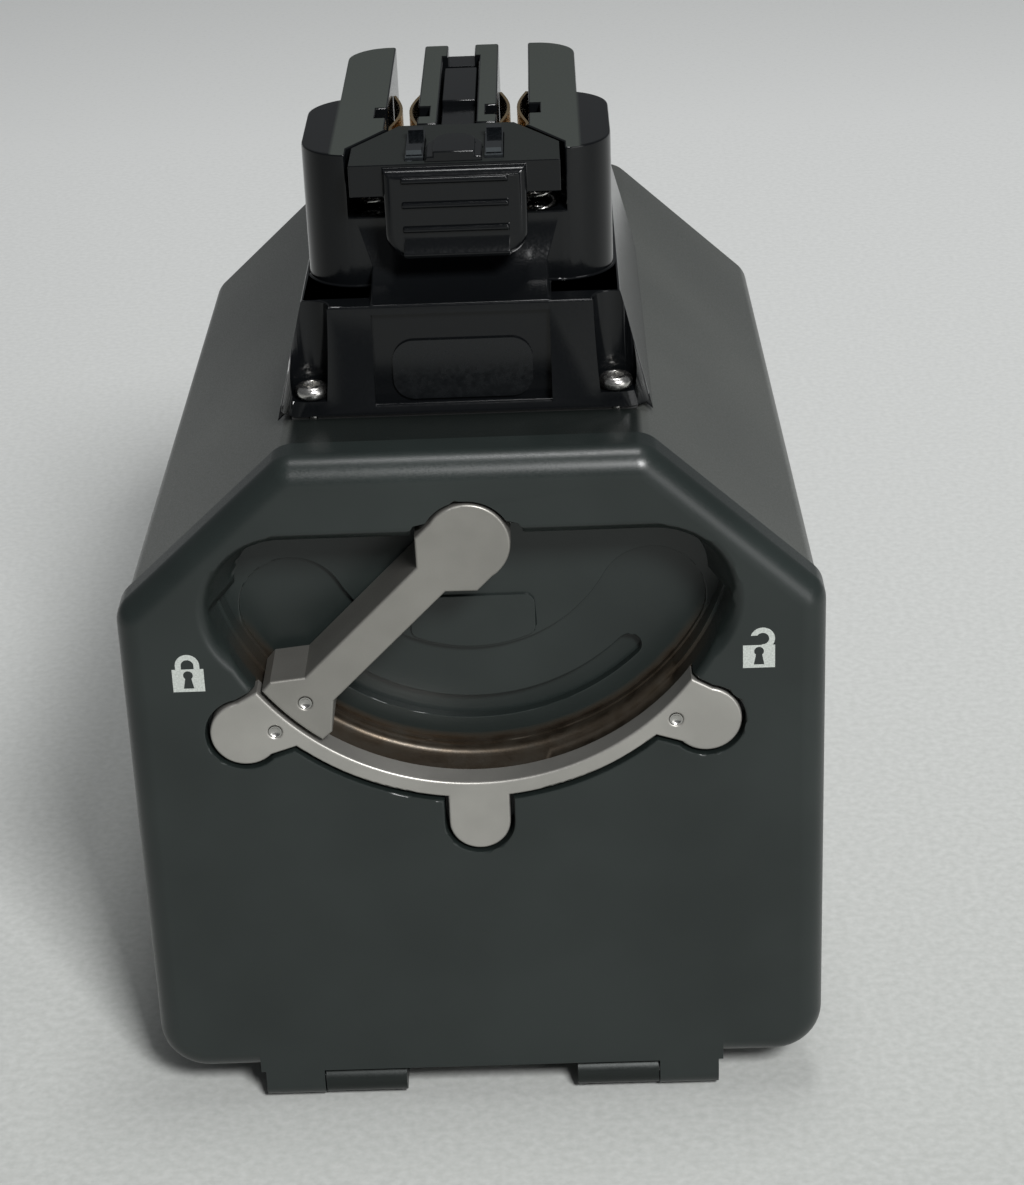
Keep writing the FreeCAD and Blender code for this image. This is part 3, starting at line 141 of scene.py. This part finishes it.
def makeDoorFinish():
    look, tree, shader = newLook("doorAnodised")
    coord = addNode(tree, "ShaderNodeTexCoord")
    grain = spots(tree, doorLook["grain"])
    cloud = spots(tree, doorLook["cloud"], 4.0)
    base = mixColours(tree, spread(tree, cloud, 0.35, 0.65), doorLook["colour"], doorLook["paler"])
    # distance from the lever's axis and depth below the face
    fromPivot = addNode(tree, "ShaderNodeVectorMath", {0: coord.outputs["Object"], 1: tuple(pivot)},
                        operation="SUBTRACT")
    flat = addNode(tree, "ShaderNodeVectorMath", {0: fromPivot.outputs["Vector"], 1: (1, 0, 1)},
                   operation="MULTIPLY")
    radius = addNode(tree, "ShaderNodeVectorMath", {0: flat.outputs["Vector"]}, operation="LENGTH")
    parts = addNode(tree, "ShaderNodeSeparateXYZ", {0: coord.outputs["Object"]})
    depth = combine(tree, "SUBTRACT", parts.outputs["Y"], doorFace)
    reach = radius.outputs["Value"]
    inner = doorLook["bandInner"]
    outer = doorLook["bandOuter"]
    inBand = combine(tree, "MULTIPLY", spread(tree, reach, inner, inner + 0.0008),
                     spread(tree, reach, outer, outer - 0.0002))
    top = doorLook["bandTop"]
    floor = doorLook["bandFloor"]
    inDepth = combine(tree, "MULTIPLY", spread(tree, depth, top, top + 0.0004),
                      spread(tree, depth, floor, floor - 0.0006))
    below = spread(tree, parts.outputs["Z"], pivot.z - doorLook["bandBegins"], pivot.z - doorLook["bandFull"])
    worn = combine(tree, "MULTIPLY", combine(tree, "MULTIPLY", inBand, inDepth), below)
    streaks = spots(tree, doorLook["streaks"], 3.0)
    worn = combine(tree, "MULTIPLY", worn, spread(tree, streaks, 0.25, 0.6, 0.55, 1.0))
    tree.links.new(mixColours(tree, worn, base, doorLook["wornColour"]), shader.inputs["Base Color"])
    rough = spread(tree, grain, 0.3, 0.7, doorLook["roughness"] - 0.05, doorLook["roughness"] + 0.07)
    rough = combine(tree, "MULTIPLY", rough, spread(tree, worn, 0.0, 1.0, 1.0,
                                                    doorLook["wornRoughness"] / doorLook["roughness"]))
    tree.links.new(rough, shader.inputs["Roughness"])
    metal = spread(tree, worn, 0.0, 1.0, doorLook["metal"], doorLook["wornMetal"])
    tree.links.new(metal, shader.inputs["Metallic"])
    shader.inputs["Specular IOR Level"].default_value = doorLook["shine"]
    bumpUp(tree, shader, grain, doorLook["bump"], 0.00004)
    return look


caseLook = {
    "colour": (0.085, 0.090, 0.084),
    "paler": (0.105, 0.110, 0.102),
    "grain": 4600.0,
    "cloud": 38.0,
    "roughness": 0.36,
    "metal": 0.45,
    "dark": (0.010, 0.013, 0.012),  # painted reflection of the black head on the flat lip in front of it, and the hinge barrels' own dark colour
    "lipEnds": 0.0012,  # behind the head's front plane
    "lipFull": 0.0004,
    "bump": 0.12,
}


def makeCaseFinish():
    look, tree, shader = newLook("caseAnodised")
    grain = spots(tree, caseLook["grain"])
    cloud = spots(tree, caseLook["cloud"], 4.0)
    base = mixColours(tree, spread(tree, cloud, 0.3, 0.7), caseLook["colour"], caseLook["paler"])
    coord = addNode(tree, "ShaderNodeTexCoord")
    normal = addNode(tree, "ShaderNodeSeparateXYZ", {0: coord.outputs["Normal"]})
    place = addNode(tree, "ShaderNodeSeparateXYZ", {0: coord.outputs["Object"]})
    # painted reflection: up-facing faces of the lip in front of the head are darkened as if mirroring the
    # black head; the barrels in front of the case are dark in their own colour
    paintedLipReflection = combine(tree, "MULTIPLY", spread(tree, normal.outputs["Z"], 0.90, 0.97),
                  spread(tree, place.outputs["Y"], headFront + caseLook["lipEnds"],
                         headFront + caseLook["lipFull"]))
    barrels = spread(tree, place.outputs["Y"], caseFront - 0.0001, caseFront - 0.0004)
    dark = combine(tree, "MAXIMUM", paintedLipReflection, barrels)
    tree.links.new(mixColours(tree, dark, base, caseLook["dark"]), shader.inputs["Base Color"])
    tree.links.new(spread(tree, grain, 0.3, 0.7, caseLook["roughness"] - 0.05, caseLook["roughness"] + 0.08),
                   shader.inputs["Roughness"])
    shader.inputs["Metallic"].default_value = caseLook["metal"]
    bumpUp(tree, shader, grain, caseLook["bump"], 0.00005)
    return look


# Steel, gold and rubber

def makeMetal(name, colour, roughness, grain, strength, metal=1.0):
    look, tree, shader = newLook(name)
    fine = spots(tree, grain, 3.0)
    cloud = spots(tree, grain / 40, 3.0)
    darker = tuple(part * 0.86 for part in colour)
    base = mixColours(tree, spread(tree, cloud, 0.35, 0.65), darker, colour)
    tree.links.new(base, shader.inputs["Base Color"])
    rough = spread(tree, fine, 0.3, 0.7, roughness - 0.06, roughness + 0.06)
    tree.links.new(rough, shader.inputs["Roughness"])
    shader.inputs["Metallic"].default_value = metal
    bumpUp(tree, shader, fine, strength, 0.00003)
    return look


def makePlain(name, colour, roughness, grain, strength):
    look, tree, shader = newLook(name)
    fine = spots(tree, grain, 2.0)
    paler = tuple(part * 1.35 for part in colour)
    base = mixColours(tree, spread(tree, fine, 0.35, 0.65), colour, paler)
    tree.links.new(base, shader.inputs["Base Color"])
    rough = spread(tree, fine, 0.3, 0.7, roughness - 0.05, roughness + 0.08)
    tree.links.new(rough, shader.inputs["Roughness"])
    bumpUp(tree, shader, fine, strength, 0.00004)
    return look


# Moulded head: glossy walls, matt faces where it was sanded flat on top

headLook = {
    "glossy": (0.0028, 0.0032, 0.0037),
    "mattHead": (0.034, 0.039, 0.035),
    "mattPlate": (0.010, 0.012, 0.011),
    "glossyRoughness": 0.15,
    "mattRoughness": 0.52,
    "shine": 0.26,
    "mattHalf": 0.0138,  # half the width of the sanded middle part
    "skin": 0.0001,  # how far off the top plane a face still counts
    "grain": 3800.0,
    "bump": 0.06,
}


def makeHeadFinish(name, mattColour):
    # only faces that look up and lie in the head's top plane are matt
    look, tree, shader = newLook(name)
    coord = addNode(tree, "ShaderNodeTexCoord")
    normal = addNode(tree, "ShaderNodeSeparateXYZ", {0: coord.outputs["Normal"]})
    place = addNode(tree, "ShaderNodeSeparateXYZ", {0: coord.outputs["Object"]})
    up = spread(tree, normal.outputs["Z"], 0.90, 0.97)
    height = place.outputs["Z"]
    skin = headLook["skin"]
    high = combine(tree, "MULTIPLY", spread(tree, height, headTop - skin * 2, headTop - skin),
                   spread(tree, height, headTop + skin * 2, headTop + skin))
    side = combine(tree, "ABSOLUTE", place.outputs["X"], 0.0)
    matt = combine(tree, "MULTIPLY", combine(tree, "MULTIPLY", up, high),
                   spread(tree, side, headLook["mattHalf"] + 0.0004, headLook["mattHalf"]))
    grain = spots(tree, headLook["grain"])
    tree.links.new(mixColours(tree, matt, headLook["glossy"], mattColour), shader.inputs["Base Color"])
    rough = spread(tree, matt, 0.0, 1.0, headLook["glossyRoughness"], headLook["mattRoughness"])
    tree.links.new(combine(tree, "ADD", rough, spread(tree, grain, 0.3, 0.7, -0.03, 0.06)),
                   shader.inputs["Roughness"])
    shader.inputs["Specular IOR Level"].default_value = headLook["shine"]
    bumpUp(tree, shader, grain, headLook["bump"], 0.00003)
    return look


doorFinish = makeDoorFinish()
caseFinish = makeCaseFinish()
satinSteel = makeMetal("satinSteel", (0.38, 0.37, 0.345), 0.42, 5200.0, 0.10, 0.75)
leverSteel = makeMetal("leverSteel", (0.275, 0.267, 0.246), 0.44, 5200.0, 0.10, 0.75)
toothSteel = makeMetal("toothSteel", (0.09, 0.10, 0.11), 0.18, 3000.0, 0.04)
brightSteel = makeMetal("brightSteel", (0.50, 0.49, 0.47), 0.26, 3000.0, 0.05)
darkSteel = makeMetal("darkSteel", (0.20, 0.20, 0.20), 0.30, 4200.0, 0.08)
contactGold = makeMetal("contactGold", (0.72, 0.50, 0.24), 0.24, 2600.0, 0.05)
sealRubber = makePlain("sealRubber", (0.012, 0.012, 0.012), 0.60, 3000.0, 0.15)
bayPlastic = makePlain("bayPlastic", (0.030, 0.031, 0.033), 0.50, 2600.0, 0.12)
bearingPlastic = makePlain("bearingPlastic", (0.40, 0.35, 0.26), 0.45, 2600.0, 0.08)
inlayPlastic = makePlain("inlayPlastic", (0.0035, 0.0040, 0.0045), 0.22, 1800.0, 0.02)
inlayPlastic.node_tree.nodes["Principled BSDF"].inputs["Specular IOR Level"].default_value = 0.3
printWhite = makePlain("printWhite", (0.31, 0.33, 0.31), 0.55, 5200.0, 0.10)
headFinish = makeHeadFinish("headPlastic", headLook["mattHead"])
buttonFinish = makeHeadFinish("buttonPlastic", headLook["mattPlate"])

dress(doorFinish, "door_cover")
dress(caseFinish, "housing_shell")
dress(satinSteel, "guide_ring")
dress(leverSteel, "latch_lever")
dress(toothSteel, "latch_teeth")
dress(brightSteel, "lever_guide_pin", "button_spring_left", "button_spring_right", "shaft_nut")
dress(darkSteel, "hinge_pin_left", "hinge_pin_right", "striker_pin", "latch_shaft", "shaft_spacer",
      "latch_finger", "ring_screws", "head_screws")
dress(contactGold, "spring_contact_left", "spring_contact_right", "bus_bar_left", "bus_bar_right",
      "bay_terminals")
dress(sealRubber, "door_gasket", "head_gasket", "shaft_seal", "door_pad", "rear_bumper")
dress(bayPlastic, "bay_contact_block", "guide_rail_left", "guide_rail_right")
dress(bearingPlastic, "shaft_bush")
dress(inlayPlastic, "label_plate")
dress(headFinish, "head_base")
dress(buttonFinish, "release_button")
print("finishes made")


# Modelling helpers. Small pieces are made in millimetres and then shrunk.

def freshStart():
    if bpy.context.object and bpy.context.object.mode != "OBJECT":
        bpy.ops.object.mode_set(mode="OBJECT")
    bpy.ops.object.select_all(action="DESELECT")


def pick(*things):
    freshStart()
    for thing in things:
        thing.select_set(True)
    bpy.context.view_layer.objects.active = things[0]


def addRod(radius, depth, place, sides=48, turn=(0, 0, 0)):
    freshStart()
    bpy.ops.mesh.primitive_cylinder_add(vertices=sides, radius=radius, depth=depth, location=place,
                                        rotation=turn)
    return bpy.context.object


def addBlock(sizes, place):
    freshStart()
    bpy.ops.mesh.primitive_cube_add(size=1, location=place)
    block = bpy.context.object
    block.scale = sizes
    bpy.ops.object.transform_apply(location=False, rotation=False, scale=True)
    return block


def carve(target, tool, operation="DIFFERENCE"):
    cutter = target.modifiers.new("carve", "BOOLEAN")
    cutter.operation = operation
    cutter.solver = "EXACT"
    cutter.object = tool
    pick(target)
    bpy.ops.object.modifier_apply(modifier=cutter.name)
    bpy.data.objects.remove(tool)


def roundEdges(target, width, segments, limit):
    bevel = target.modifiers.new("round", "BEVEL")
    bevel.width = width
    bevel.segments = segments
    bevel.limit_method = "ANGLE"
    bevel.angle_limit = math.radians(limit)
    pick(target)
    bpy.ops.object.modifier_apply(modifier=bevel.name)


def settle(piece, name, body, look):
    # shrink from millimetres, put the place into the mesh and join the piece to its body
    pick(piece)
    piece.matrix_world = Matrix.Scale(0.001, 4) @ piece.matrix_world
    bpy.ops.object.transform_apply(location=True, rotation=True, scale=True)
    bpy.ops.object.shade_smooth_by_angle(angle=math.radians(32))
    piece.name = name
    piece.data.name = name
    piece.data.materials.clear()
    piece.data.materials.append(look)
    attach(piece, body)
    return piece


def mergedCopy(nodeName, ending):
    # a copy of the CAD mesh with its loose triangles merged, left in edit mode
    piece = bpy.data.objects.new(nodeName + ending, nodes[nodeName].data.copy())
    bpy.context.scene.collection.objects.link(piece)
    pick(piece)
    bpy.ops.object.mode_set(mode="EDIT")
    bpy.ops.mesh.select_all(action="SELECT")
    bpy.ops.mesh.remove_doubles(threshold=0.000002)
    return piece


# Machined and moulded bodies with their outer edges broken

def outerEdges(mesh):
    # sharp edges that stick out, not the ones in inner corners
    sides = {}
    for face in mesh.polygons:
        for key in face.edge_keys:
            sides.setdefault(key, []).append(face)
    found = set()
    for key, faces in sides.items():
        if len(faces) != 2:
            continue
        first, second = faces
        sharp = first.normal.angle(second.normal, 0) > math.radians(38)
        if sharp and (second.center - first.center).dot(first.normal) < 0:
            found.add(key)
    return found


def breakEdges(nodeName, passes, body):
    # each pass has a width and the two corners of the space in which it works
    piece = mergedCopy(nodeName, "_soft")
    bpy.ops.mesh.dissolve_limited(angle_limit=math.radians(0.3))
    bpy.ops.mesh.select_mode(type="EDGE")
    for width, low, high in passes:
        bpy.ops.mesh.select_all(action="DESELECT")
        bpy.ops.object.mode_set(mode="OBJECT")
        outer = outerEdges(piece.data)
        points = piece.data.vertices
        for edge in piece.data.edges:
            ends = [points[end].co for end in edge.vertices]
            inside = all(low[i] <= end[i] <= high[i] for end in ends for i in range(3))
            edge.select = inside and edge.key in outer
        bpy.ops.object.mode_set(mode="EDIT")
        bpy.ops.mesh.bevel(offset=width, segments=2, affect="EDGES", clamp_overlap=False)
    bpy.ops.object.mode_set(mode="OBJECT")
    bpy.ops.object.shade_smooth_by_angle(angle=math.radians(32))
    weighted = piece.modifiers.new("weighted", "WEIGHTED_NORMAL")
    weighted.keep_sharp = True
    bpy.ops.object.modifier_apply(modifier=weighted.name)
    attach(piece, body)
    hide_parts(nodeName)


def layer(axis, low, high):
    # a space that is bounded along one axis only
    corners = [[-1.0] * 3, [1.0] * 3]
    corners[0][axis] = low
    corners[1][axis] = high
    return corners


edges = {
    "rim": 0.00035,  # recess, ring seat and slanted corners in the door's face
    "floor": 0.00016,  # floor of the recess
    "mouth": 0.0003,
    "head": 0.00025,
    "rib": 0.00026,
    "button": 0.00016,
    "floorFrom": 0.0064,  # depths below the door's face
    "floorTo": 0.0103,
    "hingeTop": 0.015,  # nothing is broken lower down, at the hinge
    "shelfDrop": 0.0155,  # top of the foot below the head's top
    "ribBack": 0.00045,  # front of the ribs behind the button's lip
}
rims = layer(1, doorFace - 0.0001, doorFace + 0.0020)
rims[0][2] = edges["hingeTop"]
floors = layer(1, doorFace + edges["floorFrom"], doorFace + edges["floorTo"])
breakEdges("door_cover", [(edges["rim"], *rims), (edges["floor"], *floors)], "door")
mouth = layer(1, caseFront - 0.0001, caseFront + 0.0001)
mouth[0][2] = edges["hingeTop"]
breakEdges("housing_shell", [(edges["mouth"], *mouth)], "housing")
aboveShelf = layer(2, headTop - edges["shelfDrop"] - 0.0001, 1.0)
breakEdges("head_base", [(edges["head"], *aboveShelf)], "housing")
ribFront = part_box("release_button")[0].y + edges["ribBack"]
ribs = layer(1, ribFront - 0.00005, ribFront + 0.00005)
breakEdges("release_button", [(edges["rib"], *ribs), (edges["button"], *layer(2, 0.0, 1.0))],
           "button")
print("outer edges broken")


# Two padlock signs, printed on the door beside the lever's two ends

padlock = {
    "shutMiddle": (-32.15, 59.95),  # middle of the body's upper edge
    "openMiddle": (32.25, 60.72),
    "width": 3.6,
    "height": 2.85,
    "bow": 1.38,  # outer radius of the shackle
    "band": 0.66,
    "hole": 0.55,
    "holeDrop": 0.78,
    "slitWidth": 1.20,
    "slitTall": 1.45,
    "slitDrop": 1.72,
    "slitTop": 0.52,  # share of the width at the upper end
    "ink": 0.05,  # thickness, nearly all of it in the door
    "inkProud": 0.012,
    "openShift": 0.41,  # the open bow stands to the right of the body's middle
    "openRise": 0.80,
    "shutRise": 0.46,
    "gap": 2.4,  # block that takes the lower left part of the open bow away
    "gapShift": 1.30,
    "gapDrop": 0.80,
}


def makePadlock(name, middle, isOpen):
    across, top = middle
    low = doorFace * 1000 + padlock["ink"] / 2 - padlock["inkProud"]
    lying = (math.radians(90), 0, 0)
    body = addBlock((padlock["width"], padlock["ink"], padlock["height"]),
                    (across, low, top - padlock["height"] / 2))
    side = padlock["openShift"] if isOpen else 0.0
    rise = padlock["openRise"] if isOpen else padlock["shutRise"]
    bow = addRod(padlock["bow"], padlock["ink"], (across + side, low, top + rise), 64, lying)
    carve(bow, addRod(padlock["bow"] - padlock["band"], 1, (across + side, low, top + rise), 48, lying))
    if isOpen:
        # the free end of the bow stops short of the body
        carve(bow, addBlock((padlock["gap"], 1, padlock["gap"]),
                            (across + side - padlock["gapShift"], low, top + rise - padlock["gapDrop"])))
    else:
        # half a ring on two straight legs
        carve(bow, addBlock((4, 1, 2), (across, low, top + rise - 1.0)))
        for sign in (-1, 1):
            legPlace = across + sign * (padlock["bow"] - padlock["band"] / 2)
            leg = addBlock((padlock["band"], padlock["ink"], rise + 0.2),
                           (legPlace, low, top + rise / 2 - 0.05))
            carve(bow, leg, "UNION")
    carve(body, bow, "UNION")
    carve(body, addRod(padlock["hole"], 1, (across, low, top - padlock["holeDrop"]), 40, lying))
    slit = addBlock((padlock["slitWidth"], 1, padlock["slitTall"]), (across, low, top - padlock["slitDrop"]))
    for point in slit.data.vertices:
        if point.co.z > 0:
            point.co.x *= padlock["slitTop"]
    carve(body, slit)
    settle(body, name, "door", printWhite)


makePadlock("padlock_shut", padlock["shutMiddle"], False)
makePadlock("padlock_open", padlock["openMiddle"], True)
print("padlock signs made")


# Head screws with domed heads and hexagon sockets

screwHead = {
    "radius": 1.9,
    "tall": 1.6,
    "dome": 0.75,
    "socket": 1.05,
    "socketDepth": 0.9,
    "socketRim": 0.05,
    "shank": 1.1,
    "overlap": 0.2,  # of the shank in the head
}


def makeHeadScrews():
    low, high = (corner * 1000 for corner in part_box("head_screws"))
    made = []
    for right in (False, True):
        for back in (False, True):
            across = high.x - screwHead["radius"] if right else low.x + screwHead["radius"]
            along = high.y - screwHead["radius"] if back else low.y + screwHead["radius"]
            middle = high.z - screwHead["tall"] / 2
            head = addRod(screwHead["radius"], screwHead["tall"], (across, along, middle))
            roundEdges(head, screwHead["dome"], 5, 60)
            carve(head, addRod(screwHead["socket"], screwHead["socketDepth"] * 2, (across, along, high.z), 6))
            roundEdges(head, screwHead["socketRim"], 2, 50)
            long = high.z - low.z - screwHead["tall"] + screwHead["overlap"]
            shankMiddle = (low.z + high.z - screwHead["tall"]) / 2 + screwHead["overlap"] / 2
            shank = addRod(screwHead["shank"], long, (across, along, shankMiddle), 32)
            carve(head, shank, "UNION")
            made.append(head)
    pick(*made)
    bpy.ops.object.join()
    screws = settle(bpy.context.object, "head_screw_set", "housing", brightSteel)
    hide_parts("head_screws")


makeHeadScrews()
print("head screws made")


# Coil springs under the latch plate, copied from the CAD meshes and smooth-shaded


def makeSprings():
    for name in ("button_spring_left", "button_spring_right"):
        coil = mergedCopy(name, "_coil")
        bpy.ops.object.mode_set(mode="OBJECT")
        bpy.ops.object.shade_smooth_by_angle(angle=math.radians(50))
        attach(coil, "housing")
        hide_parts(name)
        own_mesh(coil)


makeSprings()
print("springs made")


# Alignment dimples: three small plugs with hollow faces, two in the ring and one in the lever

dimple = {
    "radius": 0.74,
    "deep": 0.33,
    "ball": 1.0,  # radius of the hollow
    "hollow": 0.22,  # its depth
    "ringReach": 32.35,
    "leverReach": 27.1,
    "ringLevel": 0.2,  # behind the door face
    "sunk": 0.01,
}


def makeDimple():
    plug = addRod(dimple["radius"], dimple["deep"], (0, dimple["deep"] / 2, 0), 40, (math.radians(90), 0, 0))
    freshStart()
    bpy.ops.mesh.primitive_uv_sphere_add(segments=48, ring_count=32, radius=dimple["ball"],
                                         location=(0, dimple["hollow"] - dimple["ball"], 0))
    carve(plug, bpy.context.object)
    pick(plug)
    bpy.ops.object.transform_apply(location=True, rotation=True, scale=True)
    return plug


def placeDimples():
    first = makeDimple()
    diagonal = math.sqrt(0.5)
    face = doorFace * 1000
    middle = pivot * 1000
    places = [("ring_dimple_left", -1, dimple["ringReach"], dimple["ringLevel"], "door"),
              ("ring_dimple_right", 1, dimple["ringReach"], dimple["ringLevel"], "door"),
              ("lever_dimple", -1, dimple["leverReach"], 0.0, "latch")]
    for name, side, reach, level, body in places:
        plug = first.copy()
        plug.data = first.data.copy()
        bpy.context.scene.collection.objects.link(plug)
        depth = level + dimple["sunk"]
        plug.location = (side * reach * diagonal, face + depth, middle.z - reach * diagonal)
        settle(plug, name, body, brightSteel)
    bpy.data.objects.remove(first)


placeDimples()
print("dimples made")


# Floor, light and camera

studio = {
    "floorSize": 8,
    "floorShift": 2.5,
    "floorGrain": 900.0,
    # painted light: the floor's front is darker and its back paler
    "floorFront": (0.37, 0.38, 0.365),
    "floorBack": (0.76, 0.77, 0.76),
    "worldColour": (0.93, 0.97, 1.0),
    "worldStrength": 0.14,
    "keyPower": 14.6,
    "keyPlace": (0.30, -0.80, 0.74),
    "keySize": 0.22,
    "sidePower": 0.5,
    "sidePlace": (0.40, -0.45, 0.14),
    "sideSize": 0.25,
    "topPower": 2.2,
    "topPlace": (0.06, 0.02, 0.85),
    "topSize": 0.20,
    "aim": (0, 0, 0.06),
}


def makeFloor():
    freshStart()
    bpy.ops.mesh.primitive_plane_add(size=studio["floorSize"], location=(0, studio["floorShift"], 0))
    bpy.ops.object.transform_apply(location=True, rotation=False, scale=False)
    floor = bpy.context.object
    floor.name = "floor"
    look, tree, shader = newLook("paleFloor")
    place = addNode(tree, "ShaderNodeSeparateXYZ",
                    {0: addNode(tree, "ShaderNodeTexCoord").outputs["Object"]}).outputs["Y"]
    # painted light: a little paler towards the back, where more light falls on the floor, with a fine grain
    paintedLightTowardsBack = spread(tree, place, -0.10, 0.35)
    fine = spread(tree, spots(tree, studio["floorGrain"], 3.0), 0.3, 0.7, -0.08, 0.08)
    back = combine(tree, "ADD", paintedLightTowardsBack, fine)
    base = mixColours(tree, back, studio["floorFront"], studio["floorBack"])
    tree.links.new(base, shader.inputs["Base Color"])
    shader.inputs["Roughness"].default_value = 0.9
    floor.data.materials.append(look)


def addLamp(name, place, size, power):
    freshStart()
    bpy.ops.object.light_add(type="AREA", location=place)
    lamp = bpy.context.object
    lamp.name = name
    lamp.data.size = size
    lamp.data.energy = power
    aim = Vector(studio["aim"]) - Vector(place)
    lamp.rotation_euler = aim.to_track_quat("-Z", "Y").to_euler()


photoView = {
    "lens": 99.21,  # fitted to the photo's straight edges
    "sensor": 36.0,
    "place": (0.01065, -0.33503, 0.20627),
    "turn": (63.894, 2.1444, 0.1404),
}


def makeCamera():
    view = bpy.data.cameras.new("photoCamera")
    view.sensor_fit = "HORIZONTAL"
    view.sensor_width = photoView["sensor"]
    view.lens = photoView["lens"]
    view.clip_start = 0.01
    holder = bpy.data.objects.new("photoCamera", view)
    bpy.context.scene.collection.objects.link(holder)
    holder.location = photoView["place"]
    holder.rotation_euler = [math.radians(part) for part in photoView["turn"]]
    bpy.context.scene.camera = holder


makeFloor()
addLamp("keyLamp", studio["keyPlace"], studio["keySize"], studio["keyPower"])
addLamp("sideLamp", studio["sidePlace"], studio["sideSize"], studio["sidePower"])
addLamp("topLamp", studio["topPlace"], studio["topSize"], studio["topPower"])
world = bpy.data.worlds.new("paleRoom")
world.use_nodes = True
world.node_tree.nodes["Background"].inputs["Color"].default_value = (*studio["worldColour"], 1)
world.node_tree.nodes["Background"].inputs["Strength"].default_value = studio["worldStrength"]
bpy.context.scene.world = world
bpy.context.scene.view_settings.view_transform = "Standard"
makeCamera()
print("floor, light and camera made")
